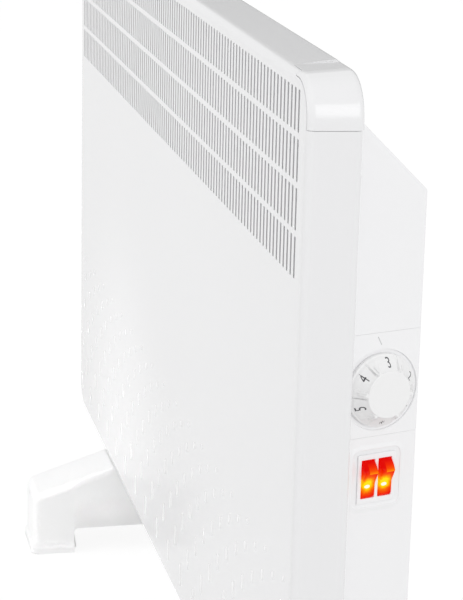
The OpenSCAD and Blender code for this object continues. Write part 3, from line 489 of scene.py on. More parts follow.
def lens_finish(c):
    """Tinted polycarbonate lit from inside by a neon lamp: a hard gloss over a deep red that turns orange,
    yellow and, right over the lamp, white. The colour follows d, the distance in mm from the lamp in the
    plane of the end, and above the rocker's ridge the light that leaks there lowers d. Object coordinates let
    it ride with the rocker."""
    s, k = body_mm(), controls_mm()
    m, t, p = finish_material("lit_polycarbonate_lens", (0.12, 0.002, 0.0), 0.14, ior=1.58)
    p.inputs["Specular IOR Level"].default_value = 0.03
    place = add(t, "ShaderNodeTexCoord")

    def calc(operation, *terms):
        """Output of a Math node whose inputs are other outputs or plain numbers."""
        n = add(t, "ShaderNodeMath", operation=operation)
        for socket, term in zip(n.inputs, terms):
            if isinstance(term, bpy.types.NodeSocket):
                t.links.new(term, socket)
            else:
                socket.default_value = term
        return n.outputs[0]

    def along(axis, zero):
        """Distance along an axis in mm, counted from zero."""
        n = add(t, "ShaderNodeVectorMath", [(place, "Object", 0)], operation="DOT_PRODUCT")
        n.inputs[1].default_value = tuple(1e3 * v for v in axis)
        return calc("SUBTRACT", n.outputs["Value"], zero)

    # Places in the end's plane, in mm: back from the middle of the nearer rocker, and up from the switch
    middle = on_end(s, 0.0, k.switch_y, k.switch_z)
    back = np.array([-math.sin(s.taper), math.cos(s.taper), 0.0])
    both = along(back, float(middle @ back))
    local = calc("SUBTRACT", both, calc("MULTIPLY", calc("SIGN", both), k.rocker_pitch / 2))
    # The glow lies this far in front of the rocker's middle
    ahead_mm = 1.2
    beside = calc("ADD", local, ahead_mm)
    height = along((0, 0, 1), float(middle[2]))

    def reach(z, over, below):
        """Distance from a glow's centre at height z, with the heights over and below it stretched."""
        up = calc("SUBTRACT", height, z)
        up = calc("MAXIMUM", calc("MULTIPLY", up, over), calc("MULTIPLY", up, -below))
        return calc("SQRT", calc("ADD", calc("MULTIPLY", beside, beside), calc("MULTIPLY", up, up)))

    # Moulded facets, 1.7 mm apart, break up the glow's edge by less than facet_mm
    facet_mm = 1.2
    rough = add(t, "ShaderNodeMapping", [(place, "Object", "Vector")])
    rough.inputs["Scale"].default_value = (600, 600, 600)
    facets = add(t, "ShaderNodeTexNoise", [(rough, "Vector", "Vector")], Scale=1.0, Detail=2.0)
    jitter = calc("MULTIPLY_ADD", facets.outputs["Fac"], 2 * facet_mm, -facet_mm)
    # The yellow glow is centred a little above the lamp and never whiter than at yellow_mm
    glow_up, yellow_mm = 1.2, 1.6
    spread = calc("MAXIMUM", calc("ADD", reach(k.lamp_z + glow_up, 0.9, 0.95), jitter), yellow_mm)
    # Above the ridge the orange leak takes over, from leak_mm on, except near the rocker's front edge
    far, leak_mm, leak_from = 12.0, 3.8, -1.6
    above = calc("SUBTRACT", height, RIDGE_UP)
    leaks = calc("MULTIPLY", calc("GREATER_THAN", above, 0.0), calc("GREATER_THAN", local, leak_from))
    leak = calc("MAXIMUM", calc("MULTIPLY_ADD", above, 0.9, leak_mm), calc("MULTIPLY_ADD", leaks, -far, far))
    spread = calc("MINIMUM", spread, leak)
    # The white core is an ellipse, core_mm to each side and flatter in height: inside it d falls to nothing
    core_mm, flatter, out_of_reach = 1.85, 1.7, 20.0
    inside = calc("LESS_THAN", reach(k.lamp_z, flatter, flatter), core_mm)
    d = calc("MINIMUM", spread, calc("MULTIPLY_ADD", inside, -out_of_reach, out_of_reach))
    ramp = add(t, "ShaderNodeValToRGB")
    t.links.new(calc("DIVIDE", d, far), ramp.inputs["Fac"])
    stops = [
        (0.0, (1.0, 1.0, 0.9)),
        (0.08, (1.0, 0.80, 0.02)),
        (0.2, linear("#FFE600")),
        (0.27, tuple(c.glow)),
        (0.36, linear("#F48000")),
        (0.47, linear("#EE4C00")),
        (0.6, linear("#E82800")),
        (0.76, tuple(c.lens)),
    ]
    e = ramp.color_ramp.elements
    while len(e) < len(stops):
        e.new(0.5)
    for el, (pos, rgb) in zip(e, stops):
        el.position = pos
        el.color = (*rgb, 1)
    t.links.new(ramp.outputs["Color"], p.inputs["Emission Color"])
    p.inputs["Emission Strength"].default_value = 0.97
    return m


FINISH = {}


def finish(slot):
    """The finish with this name. All are made the first time that one is asked for."""
    if not FINISH:
        FINISH.update(make_finishes())
    return FINISH[slot]


# The front shell and its corner caps


def slot_columns(s):
    """Middles of the slot columns, a slot's width, the tops of the rows and a slot's length, in mm."""
    g = bpy.context.scene.heater_slots
    pitch, half = g.pitch * 1e3, s.w / 2 - g.side_margin * 1e3
    n = math.floor(2 * half / pitch + 1e-6)
    middle = (np.arange(n + 1) - n / 2) * pitch
    top = s.h - g.top_margin * 1e3 - np.arange(g.rows) * g.row_pitch * 1e3
    return middle, g.width * 1e3, top, g.length * 1e3


# The corner caps in mm: how far they reach from the corner's axis along the top edge, across the front and
# down the side; where their seam and their inner lip lie in the rim's section; and the gap along the seam
CAP_TOP, CAP_FRONT, CAP_SIDE = 23.0, 5.0, 4.5
SEAM_U, SEAM_V, CAP_LIP_U, SEAM = 21.5, 4.0, 17.8, 0.3


def rim_section(s):
    """Outer section of the shell, u outwards from the corner's axis and v back from the front face: an arc of
    the front rounding (uf + f sin t, f - f cos t), the flared wall, an arc of the rear rounding and the
    lip."""
    f, b, d = s.front_round, s.rear_round, s.flare
    end = math.pi / 2 - d
    t = lines(
        np.linspace(0, end, 11),
        [math.asin((u - s.uf) / f) for u in (SEAM_U - SEAM, SEAM_U)],
        [math.acos(1 - v / f) for v in (SEAM_V - SEAM, SEAM_V)],
    )
    front = np.stack([s.uf + f * np.sin(t), f - f * np.cos(t)], 1)
    r = np.linspace(end, math.pi, 9)
    rear = np.stack([s.ur + b * np.sin(r), s.shell - b - b * np.cos(r)], 1)
    k = np.linspace(0, 1, 5)[1:-1, None]
    wall = front[-1] * (1 - k) + rear[0] * k
    lip = np.array([[CAP_LIP_U, s.shell], [CAP_LIP_U - SEAM, s.shell]])
    return np.concatenate([front, wall, rear, lip])


def rim_grid(s):
    """The plate's grid lines, and the closed walk round its edge: for each edge point its corner axis (cx,
    cz) and the direction a in which the section is carried there, so that a section point u out lies at c + u
    (cos a, sin a)."""
    mid, w, top, long = slot_columns(s)
    arc = s.uf
    # Directions in which the corners' arcs are cut, from the side of the arc and from its top
    ax = np.radians([84, 78, 72, 66])
    az = np.radians([50, 40, 30, 20, 10])
    xr = lines([s.cx, s.cx - CAP_FRONT, s.cx - CAP_FRONT - SEAM, s.cx - CAP_TOP, s.cx - CAP_TOP - SEAM])
    xr = lines(xr, s.cx + arc * np.cos(ax), [s.cx + 8.2])
    xs = lines(xr, -xr, mid - w / 2, mid + w / 2)
    zt = lines([s.cz, s.cz + 16], s.cz + arc * np.sin(az))
    cap_z = [s.cz - CAP_SIDE, s.cz - CAP_SIDE - SEAM]
    zs = lines(zt, s.h - zt, top, top - long, cap_z, np.linspace(60, 300, 5))
    x1, z1 = xs[-1], zs[-1]

    def across(x):
        """Corner axis and direction at x along the top edge."""
        over = np.maximum(np.abs(x) - s.cx, 0)
        a = np.arccos(np.clip(over / arc, 0, 1))
        return np.clip(x, -s.cx, s.cx), np.where(x < 0, math.pi - a, a)

    def down(z):
        """Corner axis and direction at height z along the right edge."""
        over = np.where(z > s.cz, z - s.cz, np.minimum(z - s.corner, 0))
        return np.clip(z, s.corner, s.cz), np.arcsin(np.clip(over / arc, -1, 1))

    cx_t, a_t = across(xs)
    cz_r, a_r = down(zs[::-1])
    one = np.ones_like
    inner_x = np.concatenate([xs, x1 * one(zs), xs[::-1], -x1 * one(zs)])
    inner_z = np.concatenate([z1 * one(xs), zs[::-1], zs[0] * one(xs), zs])
    cx = np.concatenate([cx_t, s.cx * one(zs), cx_t[::-1], -s.cx * one(zs)])
    cz = np.concatenate([s.cz * one(xs), cz_r, s.corner * one(xs), cz_r[::-1]])
    a = np.concatenate([a_t, a_r, -a_t[::-1], math.pi - a_r[::-1]])
    return xs, zs, inner_x, inner_z, cx, cz, a


def build_shell():
    """The flat with its slots, the rim that walks round it and ends in the lip, and the two corner caps."""
    s = body_mm()
    mid, w, top, long = slot_columns(s)
    xs, zs, ix, iz, cx, cz, a = rim_grid(s)
    # Flat of the front, with a hole where a cell lies in a slot
    gx, gz = np.meshgrid(xs, zs, indexing="ij")
    plate = np.stack([gx, np.full_like(gx, s.front_y), gz + s.floor], -1)
    mx, mz = (xs[1:] + xs[:-1]) / 2, (zs[1:] + zs[:-1]) / 2
    in_x = (np.abs(mx[:, None] - mid) < w / 2).any(1)
    in_z = ((mz[:, None] < top) & (mz[:, None] > top - long)).any(1)
    plate_q = grid_quads(len(xs), len(zs), ~(in_x[:, None] & in_z))
    # Rim: the section carried round the outline
    sec = rim_section(s)
    u, v = sec[:, 0], sec[:, 1]
    px = cx[:, None] + u * np.cos(a)[:, None]
    pz = cz[:, None] + u * np.sin(a)[:, None]
    py = np.broadcast_to(s.front_y + v, px.shape)
    ring = np.stack([px, py, pz + s.floor], -1)
    first = np.stack([ix, np.full_like(ix, s.front_y), iz + s.floor], -1)[:, None]
    hole = ring[:, -1:].copy()
    hole[..., 0] = np.clip(hole[..., 0], -s.case_hw - SEAM, s.case_hw + SEAM)
    hole[..., 2] = np.clip(hole[..., 2], s.floor + s.case_low - SEAM, s.floor + s.case_top + SEAM)
    rows = len(cx)
    cols = len(u) + 2
    grid = np.concatenate([first, ring, hole], 1)
    nxt = np.roll(np.arange(rows), -1)
    mcx, mcz = (cx + cx[nxt]) / 2, (cz + cz[nxt]) / 2
    mu, mv = (u[1:] + u[:-1]) / 2, (v[1:] + v[:-1]) / 2

    def cap_cells(g):
        """Cells of the rim that the caps cover, with a gap g round them."""
        front = ((np.abs(mcx) > s.cx - CAP_FRONT - g) & (mcz > s.cz - CAP_SIDE - g))[:, None]
        rear = ((np.abs(mcx) > s.cx - CAP_TOP - g) & (mcz > s.cz - CAP_SIDE - g))[:, None]
        in_front = front & (mu > SEAM_U - g) & (mv < SEAM_V)
        return in_front | (rear & (mv > SEAM_V - g) & (mu > CAP_LIP_U - g))

    keep = np.ones((rows, cols - 1), bool)
    keep[:, 1:-1] = ~cap_cells(SEAM)
    rim_q = grid_quads(rows, cols, keep, loop_rows=True)
    centre = (0, 200, s.floor + s.h / 2)
    parts = [(plate, plate_q[:, ::-1]), (grid, rim_q)]
    shell = make_piece("front_shell", parts, "body", finish("white_enamel"), centre)
    thicken(shell, s.sheet)
    soften(shell, 0.18, 2, 40)
    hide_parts("front_panel")

    # Corner caps: the same walk where the shell leaves off. A cap's rear edge reaches behind the steel's,
    # along the same flare, and over the top tail it sinks cap_sink mm below the steel.
    cap_sink, cap_wall = 1.0, 2.0
    sink = cap_sink * np.sin(np.clip(np.where(a > math.pi / 2, math.pi - a, a), 0, None)) ** 2
    du = -sink[:, None] * np.clip((v - SEAM_V) / (s.shell - SEAM_V), 0, 1)
    past = s.past * np.clip((v - SEAM_V) / (s.shell - s.rear_round - SEAM_V), 0, 1)
    du = du + np.where(v < s.shell - 1e-6, past * math.tan(s.flare), 0)
    cap = ring.copy()
    cap[..., 0] += du * np.cos(a)[:, None]
    cap[..., 1] += past
    cap[..., 2] += du * np.sin(a)[:, None]
    for side, name in ((-1, "corner_cap_left"), (1, "corner_cap_right")):
        keep = cap_cells(0.0) & (np.sign(mcx) == side)[:, None]
        piece = make_piece(
            name.replace("corner_", ""), [(cap, grid_quads(rows, len(u), keep, loop_rows=True))],
            "body", finish("cap_plastic"),
            (side * s.cx, s.front_y + s.shell / 2, s.floor + s.cz),
        )
        thicken(piece, cap_wall)
        soften(piece, 0.35, 2, 40)
        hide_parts(name)


def dash_places(s):
    """Middles, lengths and the width of the dashes, in mm: along a row that starts at a dot, dash n lies 25.9
    n to the left and 7.5 n + n^2 lower, and is 1.7 n longer than the dot."""
    edge, width = 12.0, 3.6
    k, n = np.meshgrid(np.arange(22), np.arange(10), indexing="ij")
    x = edge + 24.9 - s.w / 2 + k * 46.85 - n * 25.9
    z = 148 - (7.5 * n + n * n)
    long = width + 1.7 * n
    ok = (np.abs(x) < s.w / 2 - edge) & (z - long / 2 > edge)
    return x[ok], z[ok], long[ok], width


def build_dashes():
    """Each pressed dash is a low pad: rings of a stadium outline that shrink as they rise by h sin t, down to
    a narrow crest."""
    s = body_mm()
    x, z, long, width = dash_places(s)
    sides, height, sunk = 20, 0.42, 0.02
    t = np.radians([0, 25, 50, 72, 90])
    out = width / 2 * np.array([1.0, 0.93, 0.8, 0.6, 0.02])
    rise = height * np.sin(t)
    ang = (np.arange(sides) + 0.5) * 2 * math.pi / sides
    half = (long - width) / 2
    cx = np.cos(ang)
    sz = np.sin(ang)
    px = x[:, None, None] + out[None, :, None] * cx
    pz = z[:, None, None] + out[None, :, None] * sz + np.sign(sz) * half[:, None, None]
    py = np.broadcast_to((s.front_y + sunk - rise)[None, :, None], px.shape)
    pts = np.stack([px, py, pz + s.floor], -1)
    rings, n = len(t), len(x)
    i, j = np.meshgrid(np.arange(rings - 1), np.arange(sides), indexing="ij")
    k = (j + 1) % sides
    row, above = i * sides, (i + 1) * sides
    wall = np.stack([row + j, row + k, above + k, above + j], -1).reshape(-1, 4)
    top = (rings - 1) * sides
    q = np.arange(sides // 2 - 1)[:, None]
    lid = top + np.concatenate([q, q + 1, sides - 2 - q, sides - 1 - q], 1)
    pad = np.concatenate([wall, lid])
    quads = (pad[None] + (np.arange(n) * rings * sides)[:, None, None]).reshape(-1, 4)
    # The crests are so narrow that only a very small weld keeps them
    make_piece("pressed_dashes", [(pts, quads)], "body", finish("dash_coat"), weld=1e-7)


# The rear casing


# In mm: the rounding where the skin turns into the ends, the seam round the thermostat panel, and how far
# that panel wraps round the rear
END_ROUND, PANEL_SEAM, PANEL_WRAP = 1.0, 0.1, 9
# A wall hook's keyhole in mm: its place, the radius of its round part, the half width of the slot that rises
# from it, and how far the slot's round end and the rays' start lie above the round part's middle
HOOK_X, HOOK_Z, HOOK_R, HOOK_SLOT_R, HOOK_SLOT_UP, HOOK_START = 200.0, 330.0, 5.0, 2.5, 11.0, 4.0
# The skin that is cut out round a keyhole: half its width, and its reach below and above the round part
HOOK_CUT_W, HOOK_CUT_LOW, HOOK_CUT_HIGH = 8, 8, 18


def casing_section(s, zs, ys):
    """Side outline of the casing, from the lip over the sloped top, down the rear and along the bottom."""
    drop = (s.rear_y - s.lip_y) * math.tan(s.slope)
    corners = [
        (s.lip_y, s.case_top),
        (s.rear_y, s.case_top - drop),
        (s.rear_y, s.case_low),
        (s.lip_y - 1.0, s.case_low),
    ]
    p, n = rounded_path(corners, [0, 2.5, 2.5, 0], 6)
    p, n = refine(p, n, 1, zs)
    return refine(p, n, 0, ys)


def keyhole(side, s):
    """The skin round one keyhole: rays from a point inside, out to the hole's edge and on to the square cut.
    The hole is the farthest exit from the round part, from the slot and from the slot's round end."""
    cut_x, cut_z = (-HOOK_CUT_W, HOOK_CUT_W), (-HOOK_CUT_LOW, HOOK_CUT_HIGH)
    corners = [math.atan2(z - HOOK_START, x) for x in cut_x for z in cut_z]
    ray = lines(np.linspace(0, 2 * math.pi, 73), np.mod(corners, 2 * math.pi))
    dx, dz = np.cos(ray), np.sin(ray)
    over, under = HOOK_CUT_HIGH - HOOK_START, HOOK_CUT_LOW + HOOK_START
    end = HOOK_SLOT_UP - HOOK_START
    with np.errstate(divide="ignore", invalid="ignore"):
        box = np.minimum(HOOK_CUT_W / np.abs(dx), np.where(dz > 0, over, under) / np.abs(dz))
        disc = -HOOK_START * dz + np.sqrt(np.maximum(0, (HOOK_START * dz) ** 2 - HOOK_START**2 + HOOK_R**2))
        slot_part = np.where(dz > 0, np.minimum(HOOK_SLOT_R / np.abs(dx), end / np.abs(dz)), 0)
        q = (end * dz) ** 2 - end**2 + HOOK_SLOT_R**2
        cap = np.where((q > 0) & (dz > 0), end * dz + np.sqrt(np.maximum(0, q)), 0)
    r = np.stack([box, np.maximum.reduce([disc, slot_part, cap])], 1)
    x = side * HOOK_X + r * dx[:, None]
    z = s.floor + HOOK_Z + HOOK_START + r * dz[:, None]
    return np.stack([x, np.full_like(r, s.rear_y), z], -1), grid_quads(len(ray), 2)


def build_casing():
    """The casing's skin is its side outline, carried from end to end: cells go where a slot, the thermostat
    panel, a hook or the gland is. Flat ends with the holes for the panel and the switch close it."""
    s, k = body_mm(), controls_mm()
    panel = (k.panel_low - PANEL_SEAM, k.panel_high + PANEL_SEAM)
    switch_w, switch_h = 12.3, 15.0
    switch = (k.switch_z - switch_h, k.switch_z + switch_h)
    gland_x, gland_z, gland_cut = s.case_hw - 53, 50.0, 7.5
    # Inlet slots in the bottom: two rows, clear of the ends and of the feet
    slot_w, slot_l, pitch, row_gap, end_gap, foot_gap = 4.0, 19.0, 9.0, 3, 25, 3
    rows_y = s.lip_y + 4 + np.array([0, slot_l, slot_l + row_gap, 2 * slot_l + row_gap])
    most = math.floor((s.case_rear_hw - end_gap) / pitch)
    cols = np.arange(-most, most + 1)
    feet = bpy.context.scene.heater_feet
    clear = np.abs(np.abs(cols * pitch) - feet.spacing * 500) > feet.width * 500 + foot_gap
    mid = cols[clear] * pitch
    hook_z = (HOOK_Z - HOOK_CUT_LOW, HOOK_Z + HOOK_CUT_HIGH)
    p, n = casing_section(s, [*panel, *switch, *hook_z, gland_z - gland_cut, gland_z + gland_cut], rows_y)
    wrap = s.case_rear_hw - PANEL_WRAP - PANEL_SEAM
    hook_x = [side * HOOK_X + edge for side in (-1, 1) for edge in (-HOOK_CUT_W, HOOK_CUT_W)]
    gland_edges = [gland_x - gland_cut, gland_x + gland_cut]
    xs = lines(mid - slot_w / 2, mid + slot_w / 2, [wrap, -wrap], hook_x, gland_edges)
    phi = np.linspace(0, math.pi / 2, 6)
    fall = END_ROUND * (1 - np.cos(phi))
    inset = np.concatenate([fall[::-1], np.zeros(len(xs)), fall])
    y = p[:, None, 0] - n[:, None, 0] * inset
    z = p[:, None, 1] - n[:, None, 1] * inset
    end = s.case_hw - (y - s.lip_y) * math.tan(s.taper)
    out = END_ROUND * np.sin(phi) - END_ROUND
    m = len(phi)
    between = np.broadcast_to(xs, (len(p), len(xs)))
    x = np.concatenate([-(end[:, :m] + out[::-1]), between, end[:, -m:] + out], 1)
    skin = np.stack([x, y, z + s.floor], -1)
    mx = (x[1:, 1:] + x[:-1, :-1]) / 2
    my = (y[1:, 1:] + y[:-1, :-1]) / 2
    mz = (z[1:, 1:] + z[:-1, :-1]) / 2
    rear = my > s.rear_y - 0.1
    under = (mz < s.case_low + 0.1) & (my < s.rear_y - 3)
    gone = rear & (np.abs(np.abs(mx) - HOOK_X) < HOOK_CUT_W) & (mz > hook_z[0]) & (mz < hook_z[1])
    gone |= rear & (np.abs(mx - gland_x) < gland_cut) & (np.abs(mz - gland_z) < gland_cut)
    gone |= (mx > wrap) & (mz > panel[0]) & (mz < panel[1])
    in_slot = (np.abs(mx[..., None] - mid) < slot_w / 2).any(-1)
    in_row = ((my > rows_y[0]) & (my < rows_y[1])) | ((my > rows_y[2]) & (my < rows_y[3]))
    gone |= under & in_slot & in_row
    parts = [(skin, grid_quads(len(p), skin.shape[1], ~gone))]

    # Flat ends: each row runs from the lip to the section's inset edge
    c = math.cos(s.taper)
    ys = s.lip_y + c * (k.switch_y + np.array([-switch_w, switch_w]))
    edge_y = s.rear_y - END_ROUND
    t = lines([0, 1], (ys - s.lip_y) / (edge_y - s.lip_y), [0.5])
    pe = p - n * END_ROUND
    upto = np.argmax(pe[:, 1] <= s.case_low + END_ROUND + 1e-6) + 1
    pe = pe[:upto]
    fy = s.lip_y + (pe[:, None, 0] - s.lip_y) * t
    fz = np.broadcast_to(pe[:, None, 1], fy.shape)
    fx = s.case_hw - (fy - s.lip_y) * math.tan(s.taper)
    my = (fy[1:, 1:] + fy[:-1, :-1]) / 2
    mz = (fz[1:, 1:] + fz[:-1, :-1]) / 2
    hole = (my > ys[0]) & (my < ys[1]) & (mz > switch[0]) & (mz < switch[1])
    hole |= (mz > panel[0]) & (mz < panel[1])
    shape = fy.shape
    parts.append((np.stack([fx, fy, fz + s.floor], -1), grid_quads(*shape, ~hole)[:, ::-1]))
    parts.append((np.stack([-fx, fy, fz + s.floor], -1), grid_quads(*shape)))
    parts.extend(keyhole(side, s) for side in (-1, 1))
    casing = make_piece(
        "casing", parts, "body", finish("white_enamel_side"), (0, 0, s.floor + s.h / 2)
    )
    thicken(casing, s.sheet)
    soften(casing, 0.15, 2, 40)
    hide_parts("rear_casing")


# Thermostat panel and knob


def build_thermostat_panel():
    """Polar strip from the panel's outline in to the round recess, down its wall and over its floor; the rear
    return is the plan outline carried up."""
    s, k = body_mm(), controls_mm()
    low, high = k.panel_low, k.panel_high
    # In mm: front edge, radius and depth of the recess, radius of the shaft's hole, rear corner, wall
    y0, r0, deep, shaft_r, corner, wall = PANEL_SEAM, k.knob_r + 2.5, 1.2, 5.2, 0.9, 1.2
    turn = math.pi / 2 - s.taper
    y1 = s.end_l - corner * math.tan(turn / 2)
    lo_y, hi_y, lo_z, hi_z = y0 - k.y, y1 - k.y, low - k.knob_z, high - k.knob_z
    # The recess runs out through the panel's front edge between these two directions
    run_out = math.acos(min(1.0, -lo_y / r0))
    ang = lines(
        np.linspace(0, 2 * math.pi, 145),
        np.mod([math.atan2(b, a) for a in (lo_y, hi_y) for b in (lo_z, hi_z)], 2 * math.pi),
        [math.pi + q * run_out + e for q in (-1, 1) for e in (-0.001, 0.001)],
    )
    dy, dz = np.cos(ang), np.sin(ang)
    with np.errstate(divide="ignore", invalid="ignore"):
        to_side = np.where(dy > 0, hi_y, -lo_y) / np.abs(dy)
        edge = np.minimum(to_side, np.where(dz > 0, hi_z, -lo_z) / np.abs(dz))
    # Radius and height of the recess: a tiny round at its lip, its wall, a round at its foot and its floor
    ring = np.array([
        (r0 + 0.1, 0), (r0 + 0.03, -0.03), (r0, -0.12),
        (r0 - 0.05, -deep + 0.25), (r0 - 0.3, -deep), (shaft_r, -deep),
    ])
    r = np.concatenate([edge[:, None], np.broadcast_to(ring[:, 0], (len(ang), len(ring)))], 1)
    x = np.concatenate([np.zeros((len(ang), 1)), np.broadcast_to(ring[:, 1], (len(ang), len(ring)))], 1)
    x = np.where(edge[:, None] < np.maximum(r, r0), -deep, x)
    r = np.minimum(r, edge[:, None])
    face = on_end(s, x, k.y + r * dy[:, None], k.knob_z + r * dz[:, None])
    parts = [(face, grid_quads(*r.shape))]
    start = on_end(s, 0.0, y1, 0.0)[:2]
    outer = (s.case_rear_hw, s.rear_y)
    path, _ = rounded_path([start, outer, (s.case_rear_hw - PANEL_WRAP, s.rear_y)], [0, corner, 0], 6)
    # The arc begins where the flat ends, so the first point would repeat it
    path = path[1:]
    places = (path[:, None, 0], path[:, None, 1], np.array([low, high]) + s.floor)
    strip = np.stack([np.broadcast_to(q, (len(path), 2)) for q in places], -1)
    parts.append((strip, grid_quads(len(path), 2)))
    inside = on_end(s, -15.0, k.y, k.knob_z)
    panel = make_piece("dial_panel", parts, "body", finish("white_plastic"), tuple(inside))
    thicken(panel, wall, False)
    soften(panel, 0.12, 2, 50)
    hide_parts("thermostat_panel")

    # Index mark: a printed stroke that leans, a film's height above the panel
    t = np.linspace(-1, 1, 9)[:, None]
    lean = math.radians(27.5)
    half_l, half_w, film = 2.9, 0.3, 0.03
    mark_y, mark_z = k.y - 1.7, k.knob_z + k.knob_r + 7.7
    width = np.array([-half_w, half_w])
    yy = mark_y - t * half_l * math.sin(lean) + width * math.cos(lean)
    zz = mark_z + t * half_l * math.cos(lean) + width * math.sin(lean)
    mark = on_end(s, film, yy, zz)
    ink = finish("faint_ink")
    make_piece("index_mark", [(mark, grid_quads(9, 2))], "body", ink, tuple(inside))


# Half the angle of a rib, in degrees, and the angles of the six marks, clockwise from the top
RIB = 7.5
MARKS = (4, 64, 124, 184, -116, -56)


def knob_height(k, r, deg):
    """Height of the knob at radius r and at deg clockwise from the top. The section falls from the flat grip
    down a hollow flank to a low rim. Six stepped ribs rise on the flank, by more towards the grip, with a
    narrow bar on each, and a lobe stands out of the grip's rim over each bar."""
    top, rim = k.knob_h, 1.4
    section = np.array([
        (0, top), (k.grip - 0.5, top), (k.grip - 0.2, top - 0.05), (k.grip, top - 0.25),
        (k.grip + 0.25, top - 0.75), (k.grip + 0.5, top - 1.2), (k.grip + 1.1, top - 2.0),
        (16.6, 7.0), (18.2, 5.1), (20.2, 3.2), (k.knob_r - 0.9, rim + 0.3), (k.knob_r - 0.35, rim),
        (k.knob_r - 0.08, rim - 0.35), (k.knob_r, rim - 0.8),
    ])
    h = np.interp(r, section[:, 0], section[:, 1])
    # Angle from the nearest rib, which stands half-way between two marks
    signed = (deg - MARKS[0]) % 60 - 30
    gap = np.abs(signed)
    grow = np.clip((k.knob_r - 1.0 - r) / (k.knob_r - 1.0 - k.grip), 0, 1)
    on_flank = (r > k.grip + 0.5) & (r < k.knob_r - 0.6)

    def step(distance, soft):
        """1 where the distance is below nothing, 0 above it, with a smooth slope soft mm wide."""
        t = np.clip(0.5 - distance / soft, 0, 1)
        return t * t * (3 - 2 * t)

    # In degrees: half the bar's angle, and the groove's distance from the rib. In mm: the bar's outer end and
    # its height
    bar_half, groove_off, bar_end, bar_up = 2.4, 1.6, 18.6, 1.25
    arc = np.radians(1) * np.maximum(r, 1)
    rib = step((gap - RIB) * arc, 0.25) * (0.15 + 1.3 * grow) * on_flank
    bar = step((gap - bar_half) * arc, 0.25) * step(r - bar_end, 0.3) * bar_up * on_flank
    # A groove along the rib's anticlockwise side, that widens and deepens towards the grip
    from_groove = np.abs(signed + RIB + groove_off) * arc
    groove = step(from_groove - 0.16 - 0.45 * grow, 0.2) * (0.6 + 3.2 * grow) * on_flank
    # The lobe narrows outwards
    lobe_half, lobe_r = 1.5, k.grip + 1.9
    lobe = step(gap * arc - lobe_half + 0.45 * (r - k.grip), 0.3) * step(r - lobe_r, 0.3)
    high = np.where(on_flank, np.minimum(h + rib + bar - groove, np.maximum(h, top - 0.5)), h)
    return np.maximum(high, np.where(r > k.grip - 0.6, lobe * (top - 0.3), -9))


def build_knob():
    """The knob is a polar grid of its height, closed by a short side and an under-edge that turns in."""
    s, k = body_mm(), controls_mm()
    flank_end = 21.4
    r = lines(
        np.linspace(0, k.grip - 1, 6), np.linspace(k.grip - 1, k.grip + 2, 19),
        np.linspace(k.grip + 2, flank_end, 20), np.linspace(flank_end, k.knob_r, 10),
    )
    deg = np.linspace(-180, 180, 541)[:-1]
    # Radius and height of the side and the under-edge
    hem = np.array([(k.knob_r, -0.3), (k.knob_r, -0.9), (k.knob_r - 2.0, -0.9)])
    h = np.concatenate([knob_height(k, r[:, None], deg), np.broadcast_to(hem[:, 1:], (len(hem), len(deg)))])
    r = np.concatenate([r, hem[:, 0]])
    a = np.radians(deg)
    pts = on_end(s, h, k.y + r[:, None] * np.sin(a), k.knob_z + r[:, None] * np.cos(a))
    pts = np.swapaxes(pts, 0, 1)
    inside = on_end(s, 0.0, k.y, k.knob_z)
    knob = make_piece(
        "dial_knob", [(pts, grid_quads(len(deg), len(r), loop_rows=True))], "knob",
        finish("knob_plastic"), tuple(inside), 1e-6,
    )
    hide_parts("thermostat_knob")
    build_numerals(s, k)


def star_shape():
    """The frost star as (points, faces) in mm: three strokes crossed at 60 degrees, each of six cells."""
    u, w = np.meshgrid(np.linspace(-1.7, 1.7, 7), [-0.16, 0.16], indexing="ij")
    points, faces = [], []
    for arm, turn in enumerate(np.radians([0, 60, 120])):
        c, q = math.cos(turn), math.sin(turn)
        points.append(np.stack([u * c - w * q, u * q + w * c], -1).reshape(-1, 2))
        faces.extend((grid_quads(*u.shape) + arm * u.size).tolist())
    return np.concatenate(points), faces


def figure_shape(label):
    """A numeral as (points, faces) in mm about its middle, cut small enough to lie on the curved flank."""
    curve = bpy.data.curves.new("numeral", "FONT")
    curve.body = label
    curve.size = 0.0072
    curve.align_x = "CENTER"
    curve.align_y = "CENTER"
    curve.resolution_u = 5
    # Thins the strokes
    curve.offset = -0.00001
    holder = bpy.data.objects.new("numeral", curve)
    bpy.context.scene.collection.objects.link(holder)
    bpy.context.view_layer.update()
    flat = bpy.data.meshes.new_from_object(holder)
    bm = bmesh.new()
    bm.from_mesh(flat)
    bmesh.ops.triangulate(bm, faces=bm.faces)
    bmesh.ops.subdivide_edges(bm, edges=[e for e in bm.edges if e.calc_length() > 6e-4], cuts=1)
    bmesh.ops.triangulate(bm, faces=bm.faces)
    bm.to_mesh(flat)
    bm.free()
    co = np.empty(len(flat.vertices) * 3)
    flat.vertices.foreach_get("co", co)
    points = co.reshape(-1, 3)[:, :2] * 1e3
    faces = [list(p.vertices) for p in flat.polygons]
    bpy.data.objects.remove(holder)
    bpy.data.curves.remove(curve)
    bpy.data.meshes.remove(flat)
    middle = (points.min(0) + points.max(0)) / 2
    # The dial's figures are a little narrower than the font's
    return (points - middle) * [0.92, 1.0], faces


